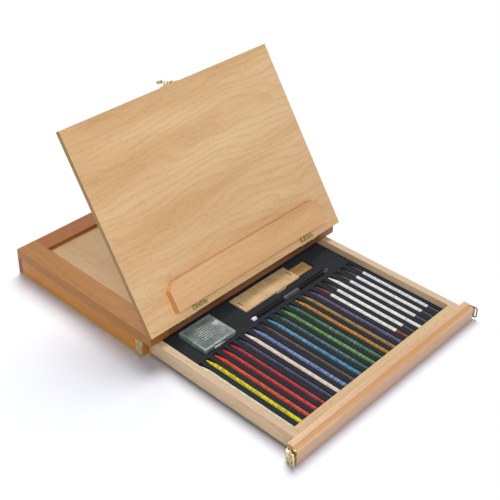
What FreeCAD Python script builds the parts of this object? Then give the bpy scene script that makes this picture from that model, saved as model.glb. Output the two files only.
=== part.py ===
"""Table easel box for pastel pencils.

A shallow beech box stands on the table. Its drawer, pulled out, carries the pencils in a foam
insert. The drawing board is hinged along the box's front rail and stands on a folding prop.

Frame: origin at the middle of the box's underside, +X to the right as one draws, +Y away from
the one who draws, +Z up. Millimetres. Everything is placed as it stands in use: drawer out,
board up, ledge folded flat against the board.
"""
import math
import os

import FreeCAD
import Part

V = FreeCAD.Vector
AXIS_X = V(1, 0, 0)
AXIS_Y = V(0, 1, 0)
AXIS_Z = V(0, 0, 1)

# --- Box ---
BOX_WIDTH = 392.0
BOX_DEPTH = 283.0           # of the walls under the top frame
WALL_HEIGHT = 30.5          # table to the underside of the top frame
SIDE_WALL = 12.0
BACK_WALL = 10.0
PLY = 3.6                   # bottom panels of the box and of the drawer
EDGE = 0.6                  # rounding of every sawn edge

# --- Top frame and its sunk panel ---
FRAME_THICK = 14.0
SIDE_RAIL = 34.0
BACK_RAIL = 31.0
PANEL_THICK = 4.0
PANEL_SUNK = 6.5            # panel face below the face of the frame
PANEL_TONGUE = 6.0          # how far the panel reaches into the rails' grooves
GROOVE_FREE = 0.1           # play of a panel in its groove, each side

# --- Drawer ---
DRAWER_PLAY = 0.5           # between a drawer side and its wall
DRAWER_LIFT = 0.3           # between the drawer's bottom and the box's
CLOSED_GAP = 0.3            # between the closed front and the walls' ends
REAR_PLAY = 1.0             # between the closed drawer's back and the back wall
DRAWER_SIDE = 11.5
DRAWER_HEADROOM = 4.0       # drawer's walls below the frame
INNER_FRONT = 12.0
FRONT_THICK = 16.7
FRONT_COVE = 8.0            # width of the hollow moulding on the front's upper edge
FRONT_COVE_DROP = 5.0
DRAWER_BACK = 8.0
STOP_SHORT = 12.0           # how much the stop is shorter than the tray, at each end
STOP_STRIP = 8.0            # depth of the strip under the front rail
STOP_PLAY = 0.3             # over the drawer and under the rail

# --- Foam insert and what lies in it ---
FOAM_THICK = 8.2
FOAM_FREE = 0.2
FOAM_RIM = 1.5              # least foam kept beyond the row of pencils
PENCIL_PITCH = 15.43
PENCIL_RADIUS = 4.0
PENCIL_LENGTH = 175.0
PENCIL_CONE = 20.0
PENCIL_TIP_RADIUS = 0.6
PENCIL_FACETS = 10
PENCIL_REAR_GAP = 1.9       # from the pencils' blunt ends to the inner front
PENCIL_SUNK = 2.9           # axis below the foam's face
PENCIL_CENTRE_X = -0.95     # middle of the row of pencils
SLOT_FREE = 0.1

CASE_SIZE = (61.0, 54.5, 13.5)      # small plastic case: X, Y, Z
CASE_INSET = 60.5           # its middle from the tray's left side
CASE_BEYOND = 3.55          # its tab beyond the pencils' tips
CASE_FLOOR = 1.0            # foam left under the case, the pad and the holder
CASE_WALL = 1.2
CASE_LID = 4.5
CASE_RIBS = 9
CASE_TAB = (20.0, 3.0, 1.6)
CASE_TAB_LEFT = 4.5         # the tab's middle, left of the case's
PAD_SIZE = (118.0, 34.0, 6.0)       # stack of sandpaper sheets
PAD_RIGHT = 45.0            # its left end from the case's right side
PAD_BEYOND = 46.6           # its middle beyond the pencils' tips
PADDLE_SIZE = (157.0, 24.0, 3.0)    # wooden paddle that carries the stack
FINGER_NOTCH = (24.0, 5.0)  # in the foam ahead of the stack, to lift it: X, Y
NOTCH_RIGHT = 76.0          # its middle from the stack's left end
PADDLE_AHEAD = 2.0          # the paddle's middle ahead of the stack's
HOLDER_LEFT = 6.0           # holder's tip left of the paddle's end
HOLDER_BEYOND = 12.6        # holder's axis beyond the pencils' tips
HOLDER_LENGTH = 170.0
HOLDER_RADIUS = 5.0
HOLDER_TIP = 8.0            # chalk that shows at the mouth
HOLDER_CAP = 12.0
HOLDER_BAND = (68.0, 100.0)         # the band's two ends, from the tip
HOLDER_BAND_WALL = 0.4

# --- Drawing board ---
BOARD_ANGLE = 56.2          # from the table, as it stands in use
BOARD_OVER_SIDE = 4.0       # board beyond each side of the box
BOARD_OVER_BACK = 3.8       # closed board beyond the back of the box
BOARD_THICK = 8.0
BOARD_GAP = 1.0             # between the closed board and the frame
HINGE_AHEAD = 2.0           # hinge axis ahead of the frame's front face
BOARD_OFFSET = 1.8          # board's lower edge from the hinge axis
HINGE_X = 130.0
HINGE_LENGTH = 40.0
HINGE_BARREL = 2.0
HINGE_PIN = 0.8
HINGE_LEAF = 1.2
LEAF_CLEAR = 0.2            # each leaf's face from the plane of the hinge axis
HINGE_REACH = 15.0
PIN_FREE = 0.05
KNUCKLE_GAP = 0.15
CUT_FREE = 0.3             # room that a leaf leaves round the other leaf's knuckles

# --- Ledge ---
LEDGE_LENGTH = 312.0
LEDGE_WIDTH = 43.0
LEDGE_THICK = 13.0
LEDGE_CENTRE = 6.0
LEDGE_CLIP = 11.0           # clipped upper corners
LEDGE_UP = 14.0             # ledge's lower edge above the board's
LEDGE_HINGES = (-106.0, 124.0)
LEDGE_HINGE_LENGTH = 27.5
LEDGE_LEAF_UP = 3.8         # board leaf's lower edge above the board's
SMALL_LEAF = 1.0
SMALL_BARREL = 1.5
SMALL_PIN = 0.6

# --- Prop behind the board ---
PROP_PIVOT = 125.0          # up the board from its hinge axis
PROP_LONGER = 3.3           # how much farther the foot's middle is from the pivot
PROP_DROP = 1.7             # pivot axis below the board's hinge axis, board closed
PROP_FOOT_PLAY = 0.29       # least room between the foot and the sunk panel
PROP_THICK = 4.0
PROP_LEG_WIDTH = 22.0
PROP_LEG_X = 70.0
PROP_FOOT_RADIUS = 1.9
PROP_LEAF = 0.8
PROP_BARREL = 1.6
PROP_HINGE_LENGTH = 18.0
PROP_RAIL_WIDTH = 24.0

# --- Catch on the board's upper edge ---
CATCH_WIDTH = 32.0
CATCH_PLATE = 1.0
CATCH_BARREL = 1.7
HASP_LENGTH = 20.0
HASP_THICK = 1.0
HASP_OUT = 8.0              # degrees the hasp stands off its closed place
HASP_SLOT = 3.4
HASP_SLOT_UP = 6.2          # slot's centre above the hasp's end
NUB_RADIUS = 2.2
NUB_PROUD = 0.8             # beyond the hasp's outer face

# --- Latches at the drawer front's ends, and their keepers on the box ---
LATCH_BELOW = 3.5           # base plate below the drawer front's top
LATCH_FOOT = 2.0
LATCH_PLATE = 1.0
LATCH_PIN = 0.8
LEVER_OUT = 2.6             # lever's axis outwards from the end face
LEVER_AHEAD = 2.7           # and ahead of the drawer front's back face
LEVER_INSET = 3.0           # lever inside the base plate, at its foot and its head
LEVER_SHEET = 1.0
LEVER_TIP = 8.3             # lever's tip ahead of the bail's axis
BAIL_OUTWARDS = 4.0
BAIL_AHEAD = 8.0
BAIL_WIRE = 0.9
BAIL_CLEAR = 1.1            # bail's wire beyond the lever, below and above
BAIL_GRIP = 2.3             # how far each end turns in
BAIL_CORNER = 2.2
BAIL_PLAY = 0.3             # behind the keeper's hook, closed
BAIL_OUT = {"left": 155.0, "right": 172.0}     # degrees from +Y, as the bails hang
KEEPER_BACK = 0.3           # keeper behind the wall's front end
KEEPER_WIDTH = 13.0
KEEPER_FOOT = 2.0
KEEPER_BELOW = 2.5          # keeper below the frame
KEEPER_HOOK = 12.0          # height of the hook
HOOK_DEPTH = 2.2

# --- Worked out from the sizes above ---
WALL_X = BOX_WIDTH / 2
FRONT_Y = -BOX_DEPTH / 2
BACK_Y = BOX_DEPTH / 2
OVERHANG = FRONT_THICK + CLOSED_GAP
FRAME_FRONT = FRONT_Y - OVERHANG
FRAME_TOP = WALL_HEIGHT + FRAME_THICK
PANEL_TOP = FRAME_TOP - PANEL_SUNK
RECESS_X = WALL_X - SIDE_RAIL
RECESS_BACK = BACK_Y - BACK_RAIL

DRAWER_X = WALL_X - SIDE_WALL - DRAWER_PLAY
DRAWER_TOP = WALL_HEIGHT - DRAWER_HEADROOM
DRAWER_OPEN = BOX_DEPTH - BACK_WALL - DRAWER_BACK - CLOSED_GAP - REAR_PLAY
DRAWER_FLOOR = PLY + DRAWER_LIFT
TRAY_FLOOR = DRAWER_FLOOR + PLY
TRAY_X = DRAWER_X - DRAWER_SIDE
STOP_HALF = TRAY_X - STOP_SHORT
FRONT_BACK_FACE = FRONT_Y - CLOSED_GAP - DRAWER_OPEN
TRAY_FRONT = FRONT_BACK_FACE + INNER_FRONT
DRAWER_REAR = FRONT_Y + DRAWER_BACK + CLOSED_GAP
TRAY_BACK = DRAWER_REAR - DRAWER_BACK
FOAM_TOP = TRAY_FLOOR + FOAM_THICK
BED = TRAY_FLOOR + CASE_FLOOR
PENCIL_COUNT = int(2 * (TRAY_X - FOAM_RIM) / PENCIL_PITCH)
PENCIL_Z = FOAM_TOP - PENCIL_SUNK
PENCIL_TAIL = TRAY_FRONT + PENCIL_REAR_GAP
PENCIL_TIPS = PENCIL_TAIL + PENCIL_LENGTH
CASE_CENTRE = (-TRAY_X + CASE_INSET, PENCIL_TIPS + CASE_BEYOND + CASE_TAB[1] + CASE_SIZE[1] / 2)
PADDLE_START = CASE_CENTRE[0] + CASE_SIZE[0] / 2 + PAD_RIGHT
PAD_CENTRE = (PADDLE_START + PAD_SIZE[0] / 2, PENCIL_TIPS + PAD_BEYOND)
PADDLE_CENTRE = (PADDLE_START + PADDLE_SIZE[0] / 2, PAD_CENTRE[1] - PADDLE_AHEAD)
HOLDER_START = PADDLE_START - HOLDER_LEFT
HOLDER_Y = PENCIL_TIPS + HOLDER_BEYOND

HINGE_Y = FRAME_FRONT - HINGE_AHEAD
HINGE_Z = FRAME_TOP + BOARD_GAP / 2
BOARD_UNDER = BOARD_GAP / 2             # board's underside above the hinge axis, closed
BOARD_FACE = BOARD_UNDER + BOARD_THICK
BOARD_WIDTH = BOX_WIDTH + 2 * BOARD_OVER_SIDE
BOARD_TOP_EDGE = BACK_Y + BOARD_OVER_BACK - HINGE_Y
BOARD_LENGTH = BOARD_TOP_EDGE - BOARD_OFFSET
HINGE_LET_IN = HINGE_LEAF + LEAF_CLEAR - BOARD_GAP / 2
LEDGE_AXIS_U = BOARD_OFFSET + LEDGE_UP - SMALL_BARREL - 0.3
LEDGE_AXIS_N = BOARD_FACE + SMALL_BARREL + 0.1
PROP_REACH = PROP_PIVOT + PROP_LONGER
PROP_SWEEP = HINGE_Z - PANEL_TOP - PROP_FOOT_RADIUS - PROP_FOOT_PLAY
PROP_FOOT_DROP = math.sqrt(PROP_SWEEP ** 2 - PROP_LONGER ** 2)     # so the foot clears at any tilt

LATCH_TOP = DRAWER_TOP - LATCH_BELOW
LEVER_FOOT = LATCH_FOOT + LEVER_INSET
LEVER_HEAD = LATCH_TOP - LEVER_INSET
LEVER_AXIS = (LEVER_OUT, FRONT_BACK_FACE - LEVER_AHEAD)
BAIL_AXIS = (BAIL_OUTWARDS, FRONT_BACK_FACE - BAIL_AHEAD)
BAIL_LOW = LEVER_FOOT - BAIL_CLEAR
BAIL_HIGH = LEVER_HEAD + BAIL_CLEAR
BAIL_REACH = BAIL_AHEAD + CLOSED_GAP + KEEPER_BACK + HOOK_DEPTH + BAIL_WIRE + BAIL_PLAY
KEEPER_TOP = WALL_HEIGHT - KEEPER_BELOW


# --- Helpers ---
def block(x0, x1, y0, y1, z0, z1):
    """Return a box between two corners."""
    return Part.makeBox(x1 - x0, y1 - y0, z1 - z0, V(x0, y0, z0))


def bar(centre, size, z0):
    """Return a box of size (X, Y, Z) about a centre (X, Y), standing on z0."""
    x, y = centre
    dx, dy, dz = size
    return block(x - dx / 2, x + dx / 2, y - dy / 2, y + dy / 2, z0, z0 + dz)


def rod(start, axis, length, radius):
    """Return a cylinder."""
    return Part.makeCylinder(radius, length, start, axis)


def extrude(points, direction):
    """Return the straight sweep of a closed outline."""
    outline = Part.makePolygon(points + [points[0]])
    return Part.Face(outline).extrude(direction)


def runs_along(edge, axes):
    """Tell whether a straight edge lies along one of the axes."""
    if edge.Curve.TypeId != "Part::GeomLine":
        return False
    along = edge.tangentAt(edge.FirstParameter)
    return any(abs(along.dot(axis)) > 0.999 for axis in axes)


def eased(solid, radius=EDGE, axes=(AXIS_X, AXIS_Y, AXIS_Z), keep=None):
    """Round the straight edges along the axes, or those of them that keep() picks."""
    edges = [edge for edge in solid.Edges if runs_along(edge, axes)]
    if keep:
        edges = [edge for edge in edges if keep(edge.CenterOfMass)]
    return solid.makeFillet(radius, edges) if edges else solid


def mirrored(solid):
    """Return the copy on the other side of the middle plane."""
    return solid.mirror(V(0, 0, 0), AXIS_X)


def turned(solid, centre, axis, degrees):
    """Return a copy turned about an axis through a point."""
    copy = solid.copy()
    copy.rotate(centre, axis, degrees)
    return copy


def group(solids):
    """Return separate solids as one compound."""
    return Part.makeCompound(solids)


def raised(solid):
    """Lift something drawn on the closed board to the angle it stands at."""
    return turned(solid, V(0, HINGE_Y, HINGE_Z), AXIS_X, BOARD_ANGLE)


def folded_out(solid):
    """Swing something drawn on the folded prop to where it stands under the raised board."""
    pivot = V(0, HINGE_Y + PROP_PIVOT, HINGE_Z - PROP_DROP)
    return raised(turned(solid, pivot, AXIS_X, -2 * BOARD_ANGLE))


def knuckles(centre_x, length, y, z, radius, bore):
    """Return three hinge knuckles in a row along X, bored for the pin."""
    third = length / 3
    row = []
    for index in range(3):
        x0 = centre_x - length / 2 + index * third + (KNUCKLE_GAP if index == 1 else 0)
        x1 = centre_x - length / 2 + (index + 1) * third - (KNUCKLE_GAP if index == 1 else 0)
        barrel = rod(V(x0, y, z), AXIS_X, x1 - x0, radius)
        row.append(barrel.cut(rod(V(x0 - 1, y, z), AXIS_X, x1 - x0 + 2, bore)))
    return row


def outer_leaf(leaf, centre_x, length, y, z, radius, pin):
    """Join a leaf to the two outer knuckles and to the pin that they hold."""
    row = knuckles(centre_x, length, y, z, radius, pin)
    middle = block(centre_x - length / 6, centre_x + length / 6,
                   y - radius - CUT_FREE, y + radius + CUT_FREE,
                   z - radius - CUT_FREE, z + radius + CUT_FREE)
    shaft = rod(V(centre_x - length / 2, y, z), AXIS_X, length, pin)
    return leaf.cut(middle).fuse([row[0], row[2], shaft]).removeSplitter()


def inner_leaf(leaf, centre_x, length, y, z, radius, pin):
    """Join a leaf to the middle knuckle, which turns on the pin."""
    row = knuckles(centre_x, length, y, z, radius, pin + PIN_FREE)
    joined = leaf.fuse(row[1])
    bore = rod(V(centre_x - length, y, z), AXIS_X, 2 * length, pin + PIN_FREE)
    for side in (-1, 1):
        x0 = centre_x + side * length / 3 - length / 6 - KNUCKLE_GAP
        notch = block(x0, x0 + length / 3 + 2 * KNUCKLE_GAP,
                      y - radius - CUT_FREE, y + radius + CUT_FREE,
                      z - radius - CUT_FREE, z + radius + CUT_FREE)
        joined = joined.cut(notch)
    return joined.cut(bore).removeSplitter()


# --- Box ---
def case_bottom():
    """Plywood panel under the walls; its edge shows all round."""
    panel = block(-WALL_X, WALL_X, FRONT_Y, BACK_Y, 0, PLY)
    return eased(panel, 0.3, (AXIS_Z,))


def wall_left():
    """Left wall, from the front to the back wall."""
    wall = block(-WALL_X, -WALL_X + SIDE_WALL, FRONT_Y, BACK_Y - BACK_WALL, PLY, WALL_HEIGHT)
    return eased(wall, EDGE, (AXIS_Z,), lambda c: c.y < 0)


def wall_back():
    """Back wall, whose end grain shows at both sides."""
    wall = block(-WALL_X, WALL_X, BACK_Y - BACK_WALL, BACK_Y, PLY, WALL_HEIGHT)
    return eased(wall, EDGE, (AXIS_Z,), lambda c: c.y > BACK_Y - 1)


def panel_groove():
    """The space that the sunk panel takes in the rails, with its play."""
    reach = PANEL_TONGUE + GROOVE_FREE
    return block(-RECESS_X - reach, RECESS_X + reach, FRONT_Y - reach, RECESS_BACK + reach,
                 PANEL_TOP - PANEL_THICK - GROOVE_FREE, PANEL_TOP + GROOVE_FREE)


def frame_rail_left():
    """Side rail of the top frame, through to the front and the back."""
    rail = block(-WALL_X, -RECESS_X, FRAME_FRONT, BACK_Y, WALL_HEIGHT, FRAME_TOP)
    rail = rail.cut(panel_groove())
    return eased(rail, EDGE, (AXIS_Y, AXIS_Z), lambda c: c.x < -WALL_X + 1 and c.z > WALL_HEIGHT + 1)


def frame_rail_back():
    """Back rail, between the side rails."""
    rail = block(-RECESS_X, RECESS_X, RECESS_BACK, BACK_Y, WALL_HEIGHT, FRAME_TOP)
    rail = rail.cut(panel_groove())
    return eased(rail, EDGE, (AXIS_X,), lambda c: c.z > FRAME_TOP - 1)


def board_hinge_seats():
    """Shallow seats that let the board's hinges into the front rail."""
    seats = []
    for side in (-1, 1):
        x0 = side * HINGE_X - HINGE_LENGTH / 2 - 0.1
        seats.append(block(x0, x0 + HINGE_LENGTH + 0.2, FRAME_FRONT - 1,
                           HINGE_Y + HINGE_REACH + 0.1, FRAME_TOP - HINGE_LET_IN, FRAME_TOP + 1))
    return group(seats)


def frame_rail_front():
    """Front rail, which overhangs the walls by the thickness of the drawer's front."""
    rail = block(-RECESS_X, RECESS_X, FRAME_FRONT, FRONT_Y, WALL_HEIGHT, FRAME_TOP)
    rail = rail.cut(panel_groove())
    rail = eased(rail, EDGE, (AXIS_X,), lambda c: c.y < FRAME_FRONT + 1)
    return rail.cut(board_hinge_seats())


def drawer_stop():
    """Strip under the front rail that keeps the drawer from pulling right out."""
    return block(-STOP_HALF, STOP_HALF, FRONT_Y - STOP_STRIP, FRONT_Y, DRAWER_TOP + STOP_PLAY, WALL_HEIGHT)


def recess_panel():
    """Pale plywood panel sunk in the frame."""
    return block(-RECESS_X - PANEL_TONGUE, RECESS_X + PANEL_TONGUE, FRONT_Y - PANEL_TONGUE,
                 RECESS_BACK + PANEL_TONGUE, PANEL_TOP - PANEL_THICK, PANEL_TOP)


def keeper_left():
    """Latch keeper: a plate whose front edge is bent into a hook."""
    y0 = FRONT_Y + KEEPER_BACK
    plate = block(-WALL_X - LATCH_PLATE, -WALL_X, y0, y0 + KEEPER_WIDTH, KEEPER_FOOT, KEEPER_TOP)
    outline = [(0.2, y0), (1.9, y0), (2.7, y0 + HOOK_DEPTH - 0.3), (1.9, y0 + HOOK_DEPTH),
               (1.4, y0 + LATCH_PLATE), (0.2, y0 + LATCH_PLATE)]
    middle = (BAIL_LOW + BAIL_HIGH) / 2
    hook = extrude([V(-WALL_X - out, y, middle - KEEPER_HOOK / 2) for out, y in outline],
                   V(0, 0, KEEPER_HOOK))
    return plate.fuse(hook).removeSplitter()


def catch_keeper():
    """Plate on the back rail with the stud that comes through the board's hasp."""
    _, axis_y, axis_z = catch_place()
    z = axis_z - HASP_LENGTH + HASP_SLOT_UP
    plate = block(-9, 9, BACK_Y, BACK_Y + LATCH_PLATE, z - 4.5, z + 4.5)
    length = axis_y + CATCH_BARREL + NUB_PROUD - BACK_Y
    stud = Part.makeCone(NUB_RADIUS, NUB_RADIUS - 0.5, length, V(0, BACK_Y, z), AXIS_Y)
    return plate.fuse(stud).removeSplitter()


def board_hinge_case_leaves():
    """Leaves of the board's two hinges on the front rail, with the pins."""
    z1 = HINGE_Z - LEAF_CLEAR
    leaves = []
    for side in (-1, 1):
        x = side * HINGE_X
        leaf = block(x - HINGE_LENGTH / 2, x + HINGE_LENGTH / 2, HINGE_Y, HINGE_Y + HINGE_REACH,
                     z1 - HINGE_LEAF, z1)
        leaves.append(outer_leaf(leaf, x, HINGE_LENGTH, HINGE_Y, HINGE_Z, HINGE_BARREL, HINGE_PIN))
    return group(leaves)


# --- Drawer ---
def drawer_side_left():
    """Left side of the drawer."""
    side = block(-DRAWER_X, -TRAY_X, TRAY_FRONT - INNER_FRONT, DRAWER_REAR, TRAY_FLOOR, DRAWER_TOP)
    return eased(side, EDGE, (AXIS_Y,), lambda c: c.z > DRAWER_TOP - 1)


def drawer_inner_front():
    """Inner front wall, between the sides and behind the overlay front."""
    wall = block(-TRAY_X, TRAY_X, FRONT_BACK_FACE, TRAY_FRONT, TRAY_FLOOR, DRAWER_TOP)
    return eased(wall, EDGE, (AXIS_X,), lambda c: c.z > DRAWER_TOP - 1)


def drawer_back():
    """Back wall, whose raised tongue meets the stop strip when the drawer is out."""
    wall = block(-TRAY_X, TRAY_X, TRAY_BACK, DRAWER_REAR, TRAY_FLOOR, DRAWER_TOP)
    tongue = block(-STOP_HALF, STOP_HALF, TRAY_BACK, DRAWER_REAR, DRAWER_TOP, WALL_HEIGHT - STOP_PLAY)
    return wall.fuse(tongue).removeSplitter()


def drawer_bottom():
    """Plywood panel under the drawer's walls; its edge shows below the sides."""
    return block(-DRAWER_X, DRAWER_X, FRONT_BACK_FACE, DRAWER_REAR, DRAWER_FLOOR, TRAY_FLOOR)


def drawer_front():
    """Overlay front, as wide as the box, with a hollow moulding along its upper edge."""
    y1 = FRONT_BACK_FACE
    y0 = y1 - FRONT_THICK
    arc = Part.Arc(V(0, y0 + FRONT_COVE, DRAWER_TOP),
                   V(0, y0 + FRONT_COVE * 0.52, DRAWER_TOP - FRONT_COVE_DROP * 0.72),
                   V(0, y0, DRAWER_TOP - FRONT_COVE_DROP)).toShape()
    rest = Part.makePolygon([V(0, y0, DRAWER_TOP - FRONT_COVE_DROP), V(0, y0, 0), V(0, y1, 0),
                             V(0, y1, DRAWER_TOP), V(0, y0 + FRONT_COVE, DRAWER_TOP)])
    outline = Part.Wire([arc] + rest.Edges)
    front = Part.Face(outline).extrude(V(BOX_WIDTH, 0, 0))
    front.translate(V(-WALL_X, 0, 0))
    return eased(front, EDGE, (AXIS_Z,), lambda c: c.y < y0 + 1)


def pencil_places():
    """X of each pencil's axis, from the left."""
    first = PENCIL_CENTRE_X - PENCIL_PITCH * (PENCIL_COUNT - 1) / 2
    return [first + index * PENCIL_PITCH for index in range(PENCIL_COUNT)]


def pencil_barrels():
    """The pencils' painted barrels, blunt end towards the drawer's front."""
    length = PENCIL_LENGTH - PENCIL_CONE
    return group([rod(V(x, PENCIL_TAIL, PENCIL_Z), AXIS_Y, length, PENCIL_RADIUS)
                  for x in pencil_places()])


def facet_ring(centre, radius, count):
    """Return the corners of a regular polygon about a centre, square to Y, the first one twice."""
    points = []
    for index in range(count + 1):
        angle = 2 * math.pi * (index % count) / count
        points.append(centre + V(radius * math.cos(angle), 0, radius * math.sin(angle)))
    return points


def pencil_points():
    """The pencils' sharpened ends, cut in small facets as by a knife."""
    y0 = PENCIL_TAIL + PENCIL_LENGTH - PENCIL_CONE
    points = []
    for x in pencil_places():
        wide = facet_ring(V(x, y0, PENCIL_Z), PENCIL_RADIUS, PENCIL_FACETS)
        fine = facet_ring(V(x, y0 + PENCIL_CONE, PENCIL_Z), PENCIL_TIP_RADIUS, PENCIL_FACETS)
        sides = [[wide[i], wide[i + 1], fine[i + 1], fine[i], wide[i]] for i in range(PENCIL_FACETS)]
        faces = [Part.Face(Part.makePolygon(outline)) for outline in sides + [wide, fine]]
        points.append(Part.makeSolid(Part.makeShell(faces)))
    return group(points)


def pencil_slots():
    """Round-bottomed slots in which the pencils lie."""
    radius = PENCIL_RADIUS + SLOT_FREE
    length = PENCIL_LENGTH + 2 * SLOT_FREE + PENCIL_REAR_GAP
    slots = []
    for x in pencil_places():
        y0 = PENCIL_TAIL - PENCIL_REAR_GAP - SLOT_FREE
        slots.append(rod(V(x, y0, PENCIL_Z), AXIS_Y, length + SLOT_FREE, radius))
        slots.append(block(x - radius, x + radius, y0, y0 + length + SLOT_FREE, PENCIL_Z, FOAM_TOP + 1))
    return group(slots)


def pocket(centre, size, z0, play=0.4):
    """Straight-sided pocket in the foam, round something of a size (X, Y, Z)."""
    return bar(centre, (size[0] + 2 * play, size[1] + 2 * play, FOAM_TOP + 1 - z0), z0)


def holder_pocket():
    """Round-bottomed trough under the extension holder."""
    radius = HOLDER_RADIUS + SLOT_FREE
    z = BED + HOLDER_RADIUS
    x0 = HOLDER_START - 1
    length = HOLDER_LENGTH + 2
    trough = rod(V(x0, HOLDER_Y, z), AXIS_X, length, radius)
    mouth = block(x0, x0 + length, HOLDER_Y - radius, HOLDER_Y + radius, z, FOAM_TOP + 1)
    return group([trough, mouth])


def tab_centre():
    """Middle (X, Y) of the plastic case's lifting tab."""
    return CASE_CENTRE[0] - CASE_TAB_LEFT, CASE_CENTRE[1] - CASE_SIZE[1] / 2 - CASE_TAB[1] / 2


def foam_insert():
    """Charcoal foam with a slot or pocket for each thing it holds."""
    foam = block(-TRAY_X + FOAM_FREE, TRAY_X - FOAM_FREE, TRAY_FRONT + FOAM_FREE,
                 TRAY_BACK - FOAM_FREE, TRAY_FLOOR, FOAM_TOP)
    notch = (PADDLE_START + NOTCH_RIGHT, PAD_CENTRE[1] - (PAD_SIZE[1] + FINGER_NOTCH[1]) / 2)
    cutters = [pencil_slots(), pocket(CASE_CENTRE, CASE_SIZE, BED), pocket(tab_centre(), CASE_TAB, BED),
               pocket(PAD_CENTRE, PAD_SIZE, BED), pocket(PADDLE_CENTRE, PADDLE_SIZE, BED), holder_pocket(),
               bar(notch, (*FINGER_NOTCH, FOAM_THICK), BED)]
    for cutter in cutters:
        foam = foam.cut(cutter)
    return foam


def plastic_case_base():
    """Open tray of the small clear case."""
    dx, dy, dz = CASE_SIZE
    height = dz - CASE_LID
    tray = eased(bar(CASE_CENTRE, (dx, dy, height), BED), 2.0, (AXIS_Z,))
    inside = bar(CASE_CENTRE, (dx - 2 * CASE_WALL, dy - 2 * CASE_WALL, height), BED + CASE_WALL)
    return tray.cut(eased(inside, 1.0, (AXIS_Z,)))


def plastic_case_lid():
    """Ribbed lid of the small clear case, with its lifting tab."""
    dx, dy, dz = CASE_SIZE
    z0 = BED + dz - CASE_LID
    lid = eased(bar(CASE_CENTRE, (dx, dy, CASE_LID), z0), 2.0, (AXIS_Z,))
    inside = bar(CASE_CENTRE, (dx - 2 * CASE_WALL, dy - 2 * CASE_WALL, CASE_LID - CASE_WALL), z0)
    lid = lid.cut(inside)
    pitch = (dx - 22) / (CASE_RIBS - 1)
    ribs = []
    for index in range(CASE_RIBS):
        x = CASE_CENTRE[0] - (dx - 22) / 2 + index * pitch
        ribs.append(bar((x, CASE_CENTRE[1] + 2), (1.4, dy - 24, 0.6), z0 + CASE_LID))
    tab = bar(tab_centre(), CASE_TAB, z0)
    return lid.fuse(ribs + [tab]).removeSplitter()


def sandpaper_paddle():
    """Thin wooden paddle with a bare handle end."""
    return eased(bar(PADDLE_CENTRE, PADDLE_SIZE, BED), 1.5, (AXIS_Z,))


def sandpaper_pad():
    """Stack of sandpaper sheets on the paddle."""
    return bar(PAD_CENTRE, PAD_SIZE, BED + PADDLE_SIZE[2])


def holder_piece(start, end, radius):
    """One round length of the extension holder, between two distances from its tip."""
    return rod(V(HOLDER_START + start, HOLDER_Y, BED + HOLDER_RADIUS), AXIS_X, end - start, radius)


def holder_barrel():
    """Black barrel of the extension holder, with a seat for its band."""
    start, end = HOLDER_BAND
    barrel = holder_piece(HOLDER_TIP, HOLDER_LENGTH - HOLDER_CAP, HOLDER_RADIUS)
    ring = holder_piece(start, end, HOLDER_RADIUS + 1)
    return barrel.cut(ring.cut(holder_piece(start, end, HOLDER_RADIUS - HOLDER_BAND_WALL)))


def holder_band():
    """Bright metal band round the holder."""
    start, end = HOLDER_BAND
    core = holder_piece(start - 1, end + 1, HOLDER_RADIUS - HOLDER_BAND_WALL)
    return holder_piece(start, end, HOLDER_RADIUS).cut(core)


def holder_tip():
    """White chalk held in the holder's mouth."""
    return holder_piece(0, HOLDER_TIP, HOLDER_RADIUS - 1.6)


def holder_cap():
    """Knurled button at the holder's end, on its neck."""
    start = HOLDER_LENGTH - HOLDER_CAP
    neck = holder_piece(start, start + 4, HOLDER_RADIUS - 1.5)
    knob = holder_piece(start + 4, HOLDER_LENGTH, HOLDER_RADIUS)
    rims = [edge for edge in knob.Edges if edge.Curve.TypeId == "Part::GeomCircle"]
    return neck.fuse(knob.makeChamfer(1.2, rims)).removeSplitter()


# --- Latches, drawn at the left end; outwards is -X ---
def latch_point(out, y, z):
    """Return the point that lies a distance outwards from the left end face."""
    return V(-WALL_X - out, y, z)


def latch_sheet(points, z0, z1):
    """Return an (outwards, Y) outline swept up from z0 to z1."""
    return extrude([latch_point(out, y, z0) for out, y in points], V(0, 0, z1 - z0))


def latch_base_left():
    """Base plate with the two ears and the pin on which the lever turns."""
    out, y = LEVER_AXIS
    y0 = FRONT_BACK_FACE - FRONT_THICK + 1.0
    plate = block(-WALL_X - LATCH_PLATE, -WALL_X, y0, FRONT_BACK_FACE - 0.8, LATCH_FOOT, LATCH_TOP)
    plate = eased(plate, 1.5, (AXIS_X,))
    ears = []
    for z in (LEVER_FOOT + 1.3, LEVER_HEAD - 2.5):
        ears.append(latch_sheet([(0.5, y - 2), (out, y - 1.4), (out + 1.4, y - 0.6),
                                 (out + 1.4, y + 0.6), (out, y + 1.4), (0.5, y + 2)], z, z + 1.2))
    pin = rod(latch_point(out, y, LEVER_FOOT), AXIS_Z, LEVER_HEAD - LEVER_FOOT, LATCH_PIN)
    return plate.fuse(ears + [pin]).removeSplitter()


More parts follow.
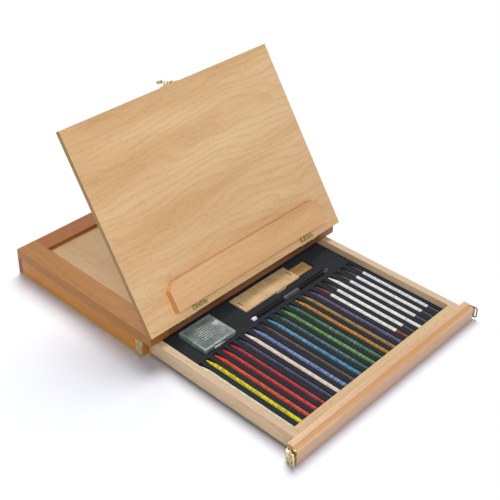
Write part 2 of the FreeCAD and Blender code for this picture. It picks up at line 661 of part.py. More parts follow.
def lever_left():
    """Pressed lever: two cheeks on the pin and a web whose front end turns out."""
    out, y = LEVER_AXIS
    bail_out, bail_y = BAIL_AXIS
    tip_y = bail_y - LEVER_TIP
    cheek = [(out - 1.4, y + 0.6), (out, y + 1.5), (bail_out + 1.6, y - 0.6),
             (bail_out + 1.6, bail_y - 2.6), (bail_out - 1.2, bail_y - 1.8), (out - 1.4, y - 0.9)]
    solids = [latch_sheet(cheek, LEVER_FOOT, LEVER_FOOT + LEVER_SHEET),
              latch_sheet(cheek, LEVER_HEAD - LEVER_SHEET, LEVER_HEAD)]
    web = [(bail_out + 0.6, y - 0.6), (bail_out + 1.6, y - 0.6), (bail_out + 1.6, tip_y + 3.0),
           (bail_out + 2.8, tip_y), (bail_out + 1.9, tip_y - 0.4), (bail_out + 0.6, tip_y + 2.8)]
    lever = solids[0].fuse([solids[1], latch_sheet(web, LEVER_FOOT, LEVER_HEAD)])
    pin_hole = rod(latch_point(out, y, 0), AXIS_Z, LATCH_TOP + 5, LATCH_PIN + PIN_FREE)
    bail_hole = rod(latch_point(bail_out, bail_y, 0), AXIS_Z, LATCH_TOP + 5, BAIL_WIRE + PIN_FREE)
    return lever.cut(pin_hole).cut(bail_hole).removeSplitter()


def bail_left():
    """Bent wire bail, drawn straight back along +Y, its ends turned in to the lever's cheeks."""
    out, y = BAIL_AXIS
    y1 = y + BAIL_REACH
    turn_in = BAIL_LOW + BAIL_GRIP
    half = [(y, turn_in), (y, BAIL_LOW), (y1 - BAIL_CORNER, BAIL_LOW), (y1, BAIL_LOW + BAIL_CORNER)]
    middle = (BAIL_LOW + BAIL_HIGH) / 2
    other_half = [(run_y, 2 * middle - z) for run_y, z in reversed(half)]
    points = [latch_point(out, run_y, z) for run_y, z in half + other_half]
    path = Part.makePolygon(points)
    ring = Part.Wire([Part.Circle(points[0], AXIS_Z, BAIL_WIRE).toShape()])
    return path.makePipeShell([ring], True, True, 1)


def hung_bail(side):
    """Return one bail swung out to where it hangs."""
    centre = latch_point(BAIL_AXIS[0], BAIL_AXIS[1], 0)
    bail = turned(bail_left(), centre, AXIS_Z, BAIL_OUT[side])
    return bail if side == "left" else mirrored(bail)


# --- Board, drawn closed on the frame and then raised ---
def easel_board():
    """Drawing board of multi-ply, let in for its hinges on the underside."""
    y0 = HINGE_Y + BOARD_OFFSET
    z0 = HINGE_Z + BOARD_UNDER
    board = block(-BOARD_WIDTH / 2, BOARD_WIDTH / 2, y0, y0 + BOARD_LENGTH, z0, z0 + BOARD_THICK)
    board = eased(board, EDGE, (AXIS_X, AXIS_Y), lambda c: c.z > z0 + BOARD_THICK - 0.1)
    for side in (-1, 1):
        x0 = side * HINGE_X - HINGE_LENGTH / 2 - 0.1
        seat = block(x0, x0 + HINGE_LENGTH + 0.2, y0 - 1, HINGE_Y + HINGE_REACH + 0.1,
                     z0 - 1, z0 + HINGE_LET_IN)
        board = board.cut(seat)
    return raised(board)


def board_hinge_board_leaves():
    """Leaves of the board's two hinges in the board's underside."""
    z0 = HINGE_Z + LEAF_CLEAR
    leaves = []
    for side in (-1, 1):
        x = side * HINGE_X
        leaf = block(x - HINGE_LENGTH / 2, x + HINGE_LENGTH / 2, HINGE_Y, HINGE_Y + HINGE_REACH,
                     z0, z0 + HINGE_LEAF)
        leaves.append(inner_leaf(leaf, x, HINGE_LENGTH, HINGE_Y, HINGE_Z, HINGE_BARREL, HINGE_PIN))
    return raised(group(leaves))


def ledge():
    """Ledge that folds down to carry the paper, its upper corners clipped."""
    x0 = LEDGE_CENTRE - LEDGE_LENGTH / 2
    x1 = x0 + LEDGE_LENGTH
    y0 = HINGE_Y + BOARD_OFFSET + LEDGE_UP
    y1 = y0 + LEDGE_WIDTH
    z0 = HINGE_Z + BOARD_FACE + 0.1
    points = [(x0, y0), (x1, y0), (x1, y1 - LEDGE_CLIP), (x1 - LEDGE_CLIP, y1),
              (x0 + LEDGE_CLIP, y1), (x0, y1 - LEDGE_CLIP)]
    slab = extrude([V(x, y, z0) for x, y in points], V(0, 0, LEDGE_THICK))
    top = [edge for edge in slab.Edges if edge.CenterOfMass.z > z0 + LEDGE_THICK - 0.01]
    return raised(slab.makeFillet(1.2, top))


def ledge_hinge_board_leaves():
    """Leaves of the ledge's two small hinges on the board's face, with the pins."""
    y = HINGE_Y + LEDGE_AXIS_U
    z = HINGE_Z + LEDGE_AXIS_N
    z0 = HINGE_Z + BOARD_FACE
    leaves = []
    for x in LEDGE_HINGES:
        half = LEDGE_HINGE_LENGTH / 2
        leaf = block(x - half, x + half, HINGE_Y + BOARD_OFFSET + LEDGE_LEAF_UP, y, z0, z0 + SMALL_LEAF)
        leaves.append(outer_leaf(leaf, x, LEDGE_HINGE_LENGTH, y, z, SMALL_BARREL, SMALL_PIN))
    return raised(group(leaves))


def ledge_hinge_leaves():
    """Leaves of the small hinges on the ledge's lower edge."""
    y = HINGE_Y + LEDGE_AXIS_U
    z = HINGE_Z + LEDGE_AXIS_N
    y1 = HINGE_Y + BOARD_OFFSET + LEDGE_UP
    leaves = []
    for x in LEDGE_HINGES:
        half = LEDGE_HINGE_LENGTH / 2
        leaf = block(x - half, x + half, y1 - SMALL_LEAF, y1, z, z + 9.0)
        leaves.append(inner_leaf(leaf, x, LEDGE_HINGE_LENGTH, y, z, SMALL_BARREL, SMALL_PIN))
    return raised(group(leaves))


def catch_place():
    """Return Y of the board's upper edge face, and the catch's axis (Y, Z), board closed."""
    y = HINGE_Y + BOARD_TOP_EDGE
    return y, y + CATCH_PLATE + CATCH_BARREL + 0.2, HINGE_Z + BOARD_UNDER + BOARD_THICK / 2


def catch_base():
    """Plate on the board's upper edge with the knuckles and pin of the hasp."""
    y0, y, z = catch_place()
    half = CATCH_WIDTH / 2
    plate = block(-half, half, y0, y0 + CATCH_PLATE, z - 3.2, z + 3.2)
    plate = eased(plate, 1.2, (AXIS_Y,))
    neck = block(-half / 2, half / 2, y0, y, z - CATCH_BARREL, z + CATCH_BARREL)
    cut = block(-half / 6 - 0.2, half / 6 + 0.2, y0 + CATCH_PLATE, y + 3, z - 4, z + 4)
    barrel = rod(V(-half / 2, y, z), AXIS_X, half, CATCH_BARREL)
    pin = rod(V(-half / 2, y, z), AXIS_X, half, 0.7)
    return raised(plate.fuse([neck, barrel]).cut(cut).fuse(pin).removeSplitter())


def catch_hasp():
    """Hasp that swings on the plate's pin, with a slot for the nub on the back rail."""
    _, y, z = catch_place()
    half = CATCH_WIDTH / 12 + 2.67
    barrel = rod(V(-CATCH_WIDTH / 12, y, z), AXIS_X, CATCH_WIDTH / 6, CATCH_BARREL)
    back = y + CATCH_BARREL
    tongue = block(-CATCH_WIDTH / 12, CATCH_WIDTH / 12, back - HASP_THICK, back, z - 6, z)
    plate = block(-half, half, back - HASP_THICK, back, z - HASP_LENGTH, z - 5)
    plate = eased(plate, 2.0, (AXIS_Y,))
    slot = rod(V(0, back - 5, z - HASP_LENGTH + HASP_SLOT_UP), AXIS_Y, 10, HASP_SLOT)
    lift = eased(block(-half, half, back, back + 3.5, z - HASP_LENGTH + 0.2, z - HASP_LENGTH + 1.2),
                 0.3, (AXIS_X,))
    bore = rod(V(-20, y, z), AXIS_X, 40, 0.7 + PIN_FREE)
    hasp = barrel.fuse([tongue, plate.cut(slot), lift]).cut(bore).removeSplitter()
    return raised(turned(hasp, V(0, y, z), AXIS_X, HASP_OUT))


def prop_hinge_board_leaves():
    """Leaves of the prop's hinges under the board, with the pins."""
    y = HINGE_Y + PROP_PIVOT
    z = HINGE_Z - PROP_DROP
    top = HINGE_Z + BOARD_UNDER
    leaves = []
    for side in (-1, 1):
        x = side * PROP_LEG_X
        half = PROP_HINGE_LENGTH / 2
        leaf = block(x - half, x + half, y - 12, y + PROP_LEAF / 2, top - PROP_LEAF, top)
        leaves.append(outer_leaf(leaf, x, PROP_HINGE_LENGTH, y, z, PROP_BARREL, SMALL_PIN))
    return raised(group(leaves))


def prop_hinge_leaves():
    """Leaves of the prop's hinges on its legs."""
    y = HINGE_Y + PROP_PIVOT
    z = HINGE_Z - PROP_DROP
    top = prop_top() + PROP_LEAF
    leaves = []
    for side in (-1, 1):
        x = side * PROP_LEG_X
        half = PROP_HINGE_LENGTH / 2
        leaf = block(x - half, x + half, y, y + 16, top - PROP_LEAF, top)
        leaves.append(inner_leaf(leaf, x, PROP_HINGE_LENGTH, y, z, PROP_BARREL, SMALL_PIN))
    return folded_out(group(leaves))


def prop_top():
    """Upper face of the prop's legs as it lies folded under the closed board."""
    return HINGE_Z - PROP_FOOT_DROP + PROP_THICK / 2


def prop_leg_left():
    """One leg of the prop, from its hinge to its foot."""
    z1 = prop_top()
    y0 = HINGE_Y + PROP_PIVOT + PROP_BARREL + 0.8
    y1 = HINGE_Y + PROP_PIVOT + PROP_REACH - PROP_FOOT_RADIUS - 4.0
    half = PROP_LEG_WIDTH / 2
    leg = block(-PROP_LEG_X - half, -PROP_LEG_X + half, y0, y1, z1 - PROP_THICK, z1)
    return folded_out(eased(leg, EDGE, (AXIS_Y,)))


def prop_leg_right():
    """The other leg."""
    return mirrored(prop_leg_left())


def prop_cross_rail():
    """Rail that joins the two legs near their feet."""
    z1 = prop_top()
    y1 = HINGE_Y + PROP_PIVOT + PROP_REACH - 34.0
    inner = PROP_LEG_X - PROP_LEG_WIDTH / 2
    rail = block(-inner, inner, y1 - PROP_RAIL_WIDTH, y1, z1 - PROP_THICK, z1)
    return folded_out(eased(rail, EDGE, (AXIS_X,)))


def prop_feet():
    """Round rubber strips along the legs' ends."""
    z = HINGE_Z - PROP_FOOT_DROP
    y = HINGE_Y + PROP_PIVOT + PROP_REACH
    feet = []
    for side in (-1, 1):
        x0 = side * PROP_LEG_X - PROP_LEG_WIDTH / 2
        nose = rod(V(x0, y, z), AXIS_X, PROP_LEG_WIDTH, PROP_FOOT_RADIUS)
        web = block(x0, x0 + PROP_LEG_WIDTH, y - PROP_FOOT_RADIUS - 4.0, y,
                    z - PROP_FOOT_RADIUS, z + PROP_FOOT_RADIUS)
        feet.append(nose.fuse(web).removeSplitter())
    return folded_out(group(feet))


NODES = {
    "case_bottom": case_bottom,
    "wall_left": wall_left,
    "wall_right": lambda: mirrored(wall_left()),
    "wall_back": wall_back,
    "frame_rail_left": frame_rail_left,
    "frame_rail_right": lambda: mirrored(frame_rail_left()),
    "frame_rail_back": frame_rail_back,
    "frame_rail_front": frame_rail_front,
    "recess_panel": recess_panel,
    "drawer_stop": drawer_stop,
    "keeper_left": keeper_left,
    "keeper_right": lambda: mirrored(keeper_left()),
    "catch_keeper": catch_keeper,
    "board_hinge_case_leaves": board_hinge_case_leaves,
    "drawer_side_left": drawer_side_left,
    "drawer_side_right": lambda: mirrored(drawer_side_left()),
    "drawer_inner_front": drawer_inner_front,
    "drawer_back": drawer_back,
    "drawer_bottom": drawer_bottom,
    "drawer_front": drawer_front,
    "foam_insert": foam_insert,
    "pencil_barrels": pencil_barrels,
    "pencil_points": pencil_points,
    "plastic_case_base": plastic_case_base,
    "plastic_case_lid": plastic_case_lid,
    "sandpaper_paddle": sandpaper_paddle,
    "sandpaper_pad": sandpaper_pad,
    "holder_barrel": holder_barrel,
    "holder_band": holder_band,
    "holder_tip": holder_tip,
    "holder_cap": holder_cap,
    "latch_base_left": latch_base_left,
    "latch_base_right": lambda: mirrored(latch_base_left()),
    "latch_lever_left": lever_left,
    "latch_lever_right": lambda: mirrored(lever_left()),
    "latch_bail_left": lambda: hung_bail("left"),
    "latch_bail_right": lambda: hung_bail("right"),
    "easel_board": easel_board,
    "board_hinge_board_leaves": board_hinge_board_leaves,
    "ledge_hinge_board_leaves": ledge_hinge_board_leaves,
    "prop_hinge_board_leaves": prop_hinge_board_leaves,
    "catch_base": catch_base,
    "ledge": ledge,
    "ledge_hinge_leaves": ledge_hinge_leaves,
    "prop_leg_left": prop_leg_left,
    "prop_leg_right": prop_leg_right,
    "prop_cross_rail": prop_cross_rail,
    "prop_hinge_leaves": prop_hinge_leaves,
    "prop_feet": prop_feet,
    "catch_hasp": catch_hasp,
}


def main():
    """Build every piece and write it to its own file."""
    os.makedirs("parts", exist_ok=True)
    for name, build in NODES.items():
        shape = build()
        solids = shape.Solids
        if not shape.isValid() or not solids:
            raise RuntimeError(f"{name} is not a valid solid")
        piece = solids[0] if len(solids) == 1 else Part.makeCompound(solids)
        piece.exportStep(f"parts/{name}.step")
        print(f"{name}: {len(solids)} solid(s), {shape.Volume / 1000:.2f} cm3")


if __name__ == "__main__":
    main()
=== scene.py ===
"""Looks of the pastel pencil box: finishes, small fittings, pencils, light and camera."""
import logging
import math
import random
from dataclasses import dataclass
from enum import Enum
from typing import Mapping, Optional, Protocol, Sequence, Union

import bmesh
import bpy
from mathutils import Matrix, Vector


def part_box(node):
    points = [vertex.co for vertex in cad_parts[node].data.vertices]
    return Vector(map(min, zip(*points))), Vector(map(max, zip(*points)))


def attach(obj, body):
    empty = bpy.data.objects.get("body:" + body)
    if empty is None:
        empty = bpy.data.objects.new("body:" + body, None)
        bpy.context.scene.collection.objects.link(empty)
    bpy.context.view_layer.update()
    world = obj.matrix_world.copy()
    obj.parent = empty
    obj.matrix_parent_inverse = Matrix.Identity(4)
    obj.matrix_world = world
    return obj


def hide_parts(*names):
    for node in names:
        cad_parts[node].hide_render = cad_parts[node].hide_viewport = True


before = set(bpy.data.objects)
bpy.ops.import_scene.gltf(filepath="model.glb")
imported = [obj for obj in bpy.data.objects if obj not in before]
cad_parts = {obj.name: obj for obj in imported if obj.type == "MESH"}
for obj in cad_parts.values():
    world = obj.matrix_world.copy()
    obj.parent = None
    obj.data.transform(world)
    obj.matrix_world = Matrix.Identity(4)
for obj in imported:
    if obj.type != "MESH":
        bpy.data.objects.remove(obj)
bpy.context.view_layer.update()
LOG = logging.getLogger("pencil_box")
MM = 0.001
BOARD_ANGLE = 56.2                          # degrees from the table
HINGE = Vector((0.0, -160.5, 45.0))         # board's hinge axis, mm
PROP_PIVOT = Vector((0.0, -35.5, 43.3))     # prop's axis while the board is closed, mm
SEED_STEP = (1.0, 0.7, 0.3)                 # how a seed moves a pattern along X, Y and Z

Socket = bpy.types.NodeSocket
Rgba = tuple[float, float, float, float]
Feed = Union[Socket, float, Sequence[float]]
Point = tuple[float, float, float]
Places = list[tuple[Vector, Vector]]


class Grain(Enum):
    """How a board's grain runs: the turn in degrees that brings it to X and its face to Z."""

    ALONG_X = (0.0, 0.0, 0.0)
    ALONG_Y = (0.0, 0.0, -90.0)
    BOARD = (-BOARD_ANGLE, 0.0, 0.0)
    PROP = (BOARD_ANGLE, 0.0, -90.0)
    PROP_RAIL = (BOARD_ANGLE, 0.0, 0.0)


class Head(Enum):
    """Kinds of screw head: radius and height above the seat, mm."""

    ROUND = (1.6, 0.6)
    SMALL_ROUND = (1.25, 0.45)
    FLUSH = (1.7, 0.12)


class Finish(Protocol):
    """Anything that can make its own material."""

    def build(self) -> bpy.types.Material:
        """Return the material."""


def linear(colour: str) -> Rgba:
    """Turn an sRGB hex colour to linear.

    Args:
        colour: six hex digits, with or without a leading hash.

    Returns:
        Red, green, blue and an alpha of 1.
    """
    digits = colour.lstrip("#")
    channels = [int(digits[i:i + 2], 16) / 255 for i in (0, 2, 4)]
    values = [c / 12.92 if c <= 0.04045 else ((c + 0.055) / 1.055) ** 2.4 for c in channels]
    return (values[0], values[1], values[2], 1.0)


def per_metre(size_mm: float) -> float:
    """Return the texture scale that gives features of about a size in millimetres."""
    return 1000.0 / size_mm


def turned_about(pivot: Vector, degrees: float) -> Matrix:
    """Return the turn by an angle about an axis that runs along X through a point."""
    return Matrix.Translation(pivot) @ Matrix.Rotation(math.radians(degrees), 4, "X") @ \
        Matrix.Translation(-pivot)


def raise_board() -> Matrix:
    """Return the turn, in millimetres, that lifts the closed board to where it stands."""
    return turned_about(HINGE, BOARD_ANGLE)


def fold_prop() -> Matrix:
    """Return the turn that swings the folded prop to where it stands under the raised board."""
    return raise_board() @ turned_about(PROP_PIVOT, -2 * BOARD_ANGLE)


@dataclass(frozen=True)
class Band:
    """The range of a value over which one colour gives way to another."""

    low: float
    high: float
    amount: float = 1.0         # how far the second colour has taken over at the top

    def limits(self) -> dict[str, float]:
        """Return the band as the inputs of a Map Range node."""
        return {"From_Min": self.low, "From_Max": self.high, "To_Max": self.amount}


class Shader:
    """The node tree of a material or of the world, with one way to add a node."""

    def __init__(self, owner: Union[bpy.types.Material, bpy.types.World]) -> None:
        """Start with an empty tree.

        Args:
            owner: the material or world that the tree belongs to.
        """
        owner.use_nodes = True
        self.tree = owner.node_tree
        self.tree.nodes.clear()

    def add(self, kind: str, settings: Optional[Mapping[str, object]] = None,
            stops: Sequence[tuple[float, str]] = (), **inputs: Feed) -> bpy.types.NodeOutputs:
        """Add a node with its settings, values and links.

        Args:
            kind: the node's type, without the ShaderNode prefix.
            settings: properties of the node, such as an operation.
            stops: places and hex colours, if it is a colour ramp.
            **inputs: values or sockets by input name, an underscore for a space; an input named
                by its place is given as _0, _1 and so on.

        Returns:
            The node's outputs.
        """
        node = self.tree.nodes.new("ShaderNode" + kind)
        for key, value in (settings or {}).items():
            setattr(node, key, value)
        for index, (place, colour) in enumerate(stops):
            if index >= len(node.color_ramp.elements):
                node.color_ramp.elements.new(1.0)
            node.color_ramp.elements[index].position = place
            node.color_ramp.elements[index].color = linear(colour)
        for key, value in inputs.items():
            socket = node.inputs[int(key[1:]) if key[0] == "_" else key.replace("_", " ")]
            if isinstance(value, Socket):
                self.tree.links.new(value, socket)
            else:
                socket.default_value = value
        return node.outputs

    def lay(self, under: Feed, over: Feed, value: Socket, band: Band, blend: str = "MIX") -> Socket:
        """Lay one colour over another where a value rises through a band.

        Args:
            under: colour below the band.
            over: colour above it.
            value: the socket that decides.
            band: where the change falls and how far it goes.
            blend: how the second colour acts on the first.

        Returns:
            The colour socket.
        """
        share = self.add("MapRange", Value=value, **band.limits())[0]
        return self.add("Mix", {"data_type": "RGBA", "blend_type": blend}, _0=share, _6=under,
                        _7=over)[2]


@dataclass(frozen=True)
class Streaks:
    """A noise whose features have a real size and are drawn out along X."""

    size_mm: float
    detail: float = 3.0
    roughness: float = 0.6
    stretch: float = 1.0        # how many times longer than wide the features are

    def draw(self, shader: Shader, where: Socket) -> Socket:
        """Add the pattern to a tree.

        Args:
            shader: the tree.
            where: coordinates.

        Returns:
            The pattern's value.
        """
        drawn = shader.add("Mapping", Vector=where, Scale=(1.0 / self.stretch, 1.0, 1.0))[0]
        return shader.add("TexNoise", Vector=drawn, Scale=per_metre(self.size_mm),
                          Detail=self.detail, Roughness=self.roughness)["Fac"]


# Wood's rays and fibres are a tenth to half a millimetre wide, too fine to show at this distance,
# so they are drawn about three times as coarse.
FIBRES = Streaks(0.9, stretch=30.0)
FLECKS = Streaks(1.5, 1.0, 0.4, 5.0)
RELIEF = Streaks(1.2, stretch=25.0)
END_GRAIN = Streaks(1.4)
BROAD_SHADE = Streaks(55.0, 3.0, 0.55, 8.0)
SWING = Streaks(70.0, 2.0, 0.4, 3.2)
PLY_MOTTLE = Streaks(3.0, stretch=4.0)
LIGHT_STOP, MIDDLE_STOP, DARK_STOP = 0.30, 0.52, 0.76       # where each wood colour stands
FIBRE_BAND = Band(0.35, 0.65, 0.35)
FLECK_EDGES = (0.63, 0.72)
END_BAND = Band(0.4, 0.62)
MOTTLE_BAND = Band(0.4, 0.7, 0.4)
END_FACING = Band(0.72, 0.95, 0.8)      # how squarely a face looks along the grain
PLY_FACING = Band(0.3, 0.5)             # how squarely it looks out of the sheet
# Painted shade on a moulded front's cove and outer face is laid by how squarely a face looks at the
# user.
COVE_SHADE_FACING = Band(0.15, 0.45, 0.75)    # how squarely it looks at the user
OUTER_SHADE_FACING = Band(0.93, 0.99, 0.8)
MOTTLE_STOPS = (0.35, 0.65)
FIRST_PLY = 0.25                # where the first veneer starts on a sawn edge's ramp
MULTIPLY = {"operation": "MULTIPLY"}
ABSOLUTE = {"operation": "ABSOLUTE"}


@dataclass(frozen=True)
class Wood:
    """Sawn wood: growth lines, broad colour, short dark flecks, and darker end grain."""

    name: str
    light: str
    middle: str
    dark: str
    grain: Grain
    end: str = "#A8743E"
    line_mm: float = 9.0        # distance between growth lines
    line_depth: float = 0.35    # how strongly they show
    line_edge: float = 0.45     # where in each ring its dark late wood starts
    waver: float = 7.0          # how many rings a line wanders across
    fleck: float = 0.35         # how strongly the flecks show
    roughness: float = 0.42
    coat: float = 0.12          # satin varnish
    coat_roughness: float = 0.3
    seed: float = 0.0
    plies: tuple[str, ...] = ()         # colours of the veneers on a sawn edge; none is solid wood
    ply_mm: float = 3.4
    gloss: float = 0.25         # how much of the usual mirror light the surface keeps
    relief_mm: float = 0.10
    relief_strength: float = 0.25
    cove_shade: str = ""              # painted shade: colour of a moulded front's cove
    outer: str = ""             # painted shade: colour of the face towards the user, which gets less light

    def build(self) -> bpy.types.Material:
        """Make the material.

        Returns:
            The material, ready to be given to a mesh.
        """
        material = bpy.data.materials.new(self.name)
        shader = Shader(material)
        source = shader.add("TexCoord")
        turn = tuple(math.radians(angle) for angle in self.grain.value)
        along = shader.add("Mapping", Vector=source["Object"], Rotation=turn,
                           Location=tuple(self.seed * step for step in SEED_STEP))[0]
        facing = shader.add("Mapping", Vector=source["Normal"], Rotation=turn)[0]
        colour = self.shaped(shader, self.face(shader, along), along, facing)
        relief = shader.add("Bump", Strength=self.relief_strength, Distance=self.relief_mm * MM,
                            Height=RELIEF.draw(shader, along))[0]
        wood = shader.add("BsdfPrincipled", Base_Color=colour, Roughness=self.roughness,
                          Coat_Weight=self.coat, Coat_Roughness=self.coat_roughness,
                          Specular_IOR_Level=self.gloss, Normal=relief)[0]
        shader.add("OutputMaterial", Surface=wood)
        return material

    def face(self, shader: Shader, along: Socket) -> Socket:
        """Colour the long-grain faces.

        Args:
            shader: the material's tree.
            along: coordinates with the grain along X.

        Returns:
            The colour socket.
        """
        stops = ((LIGHT_STOP, self.light), (MIDDLE_STOP, self.middle), (DARK_STOP, self.dark))
        base = shader.add("ValToRGB", stops=stops, Fac=BROAD_SHADE.draw(shader, along))[0]
        across = shader.add("SeparateXYZ", Vector=along)["Y"]
        swing = shader.add("Math", MULTIPLY, _0=SWING.draw(shader, along), _1=self.waver)[0]
        even = shader.add("Math", MULTIPLY, _0=across, _1=per_metre(self.line_mm))[0]
        wandering = shader.add("Math", {"operation": "ADD"}, _0=even, _1=swing)[0]
        rings = shader.add("Math", {"operation": "FRACT"}, _0=wandering)[0]
        dark = linear(self.dark)
        lined = shader.lay(base, dark, rings, Band(self.line_edge, 1.0, self.line_depth))
        fibred = shader.lay(lined, linear(self.light), FIBRES.draw(shader, along), FIBRE_BAND)
        return shader.lay(fibred, dark, FLECKS.draw(shader, along), Band(*FLECK_EDGES, self.fleck),
                          "MULTIPLY")

    def shaped(self, shader: Shader, colour: Socket, along: Socket, facing: Socket) -> Socket:
        """Colour the faces that were cut another way, the ends and sawn edges, and paint shade on a
        moulded front.

        Args:
            shader: the material's tree.
            colour: colour of the long-grain faces.
            along: coordinates with the grain along X.
            facing: the surface's direction, turned as the coordinates are.

        Returns:
            The colour socket.
        """
        normal = shader.add("SeparateXYZ", Vector=facing)
        if self.plies:
            flat = shader.add("Math", ABSOLUTE, _0=normal["Z"])[0]
            colour = shader.lay(self.edge(shader, along), colour, flat, PLY_FACING)
        else:
            endwise = shader.add("Math", ABSOLUTE, _0=normal["X"])[0]
            end = shader.lay(linear(self.end), linear(self.dark), END_GRAIN.draw(shader, along),
                             END_BAND)
            colour = shader.lay(colour, end, endwise, END_FACING)
        # Painted shade: the cove and the outer face are painted darker by how squarely they face
        # the user.
        if self.cove_shade:
            ahead = shader.add("Math", MULTIPLY, _0=normal["Y"], _1=-1.0)[0]
            colour = shader.lay(colour, linear(self.cove_shade), ahead, COVE_SHADE_FACING)
            colour = shader.lay(colour, linear(self.outer), ahead, OUTER_SHADE_FACING)
        return colour

    def edge(self, shader: Shader, along: Socket) -> Socket:
        """Colour a sawn edge, where the veneers show one above another.

        Args:
            shader: the material's tree.
            along: coordinates with the board's face square to Z.

        Returns:
            The colour socket.
        """
        height = shader.add("SeparateXYZ", Vector=along)["Z"]
        turns = 2 * math.pi / (self.ply_mm * MM)
        phase = shader.add("Math", MULTIPLY, _0=height, _1=turns)[0]
        waves = shader.add("Math", {"operation": "SINE"}, _0=phase)[0]
        level = shader.add("MapRange", Value=waves, From_Min=-1.0)[0]
        stops = [(FIRST_PLY + index / len(self.plies), veneer)
                 for index, veneer in enumerate(self.plies)]
        veneers = shader.add("ValToRGB", stops=stops, Fac=level)[0]
        return shader.lay(veneers, linear(self.dark), PLY_MOTTLE.draw(shader, along), MOTTLE_BAND)


@dataclass(frozen=True)
class Plain:
    """A material of one colour with a little mottling, such as plastic, paint or rubber."""

    name: str
    colour: str
    second: str = ""            # the mottling's other colour; none leaves it even
    mottle_mm: float = 4.0
    roughness: float = 0.5
    metallic: float = 0.0
    transmission: float = 0.0
    bump_mm: float = 0.02
    bump_strength: float = 0.5
    gloss: float = 0.5          # 0.5 is the usual mirror light

    def build(self) -> bpy.types.Material:
        """Make the material.

        Returns:
            The material, ready to be given to a mesh.
        """
        material = bpy.data.materials.new(self.name)
        shader = Shader(material)
        where = shader.add("TexCoord")["Object"]
        mottle = Streaks(self.mottle_mm).draw(shader, where)
        colour: Feed = linear(self.colour)
        if self.second:
            stops = tuple(zip(MOTTLE_STOPS, (self.colour, self.second)))
            colour = shader.add("ValToRGB", stops=stops, Fac=mottle)[0]
        relief = shader.add("Bump", Strength=self.bump_strength, Distance=self.bump_mm * MM,
                            Height=mottle)[0]
        plain = shader.add("BsdfPrincipled", Base_Color=colour, Roughness=self.roughness,
                           Metallic=self.metallic, Transmission_Weight=self.transmission,
                           Specular_IOR_Level=self.gloss, Normal=relief)[0]
        shader.add("OutputMaterial", Surface=plain)
        return material


@dataclass(frozen=True)
class PencilPaint:
    """Satin lacquer on a pencil, with small generic print marks in a second colour."""

    name: str
    colour: str
    mark: str
    strength: float             # how strongly the print shows
    gain: float                 # how much fresher the colour is than the hex value
    shade: str                  # colour of the handled, duller patches
    strokes: Streaks = Streaks(3.4, 2.0, 0.7)       # single print marks
    words: Streaks = Streaks(30.0, 1.0, 0.5)        # the stretches of barrel that carry print
    handled: Streaks = Streaks(5.0, 3.0, 0.7)
    stroke_band: Band = Band(0.48, 0.60)
    word_band: Band = Band(0.40, 0.52)
    handled_band: Band = Band(0.42, 0.60, 0.6)
    roughness: float = 0.48
    coat: float = 0.06
    coat_roughness: float = 0.3
    gloss: float = 0.3

    def build(self) -> bpy.types.Material:
        """Make the material.

        Returns:
            The material, ready to be given to a mesh.
        """
        material = bpy.data.materials.new(self.name)
        shader = Shader(material)
        where = shader.add("TexCoord")["Object"]
        length = shader.add("SeparateXYZ", Vector=where)["Y"]
        row = shader.add("CombineXYZ", X=length)[0]
        strokes = shader.add("MapRange", Value=self.strokes.draw(shader, row),
                             **self.stroke_band.limits())[0]
        words = shader.add("MapRange", Value=self.words.draw(shader, where),
                           **self.word_band.limits())[0]
        print_marks = shader.add("Math", MULTIPLY, _0=strokes, _1=words)[0]
        fresh = (*(min(1.0, channel * self.gain) for channel in linear(self.colour)[:3]), 1.0)
        paint = shader.lay(fresh, linear(self.shade), self.handled.draw(shader, where),
                           self.handled_band, "MULTIPLY")
        colour = shader.lay(paint, linear(self.mark), print_marks, Band(0.0, 1.0, self.strength))
        lacquer = shader.add("BsdfPrincipled", Base_Color=colour, Roughness=self.roughness,
                             Coat_Weight=self.coat, Coat_Roughness=self.coat_roughness,
                             Specular_IOR_Level=self.gloss)[0]
        shader.add("OutputMaterial", Surface=lacquer)
        return material


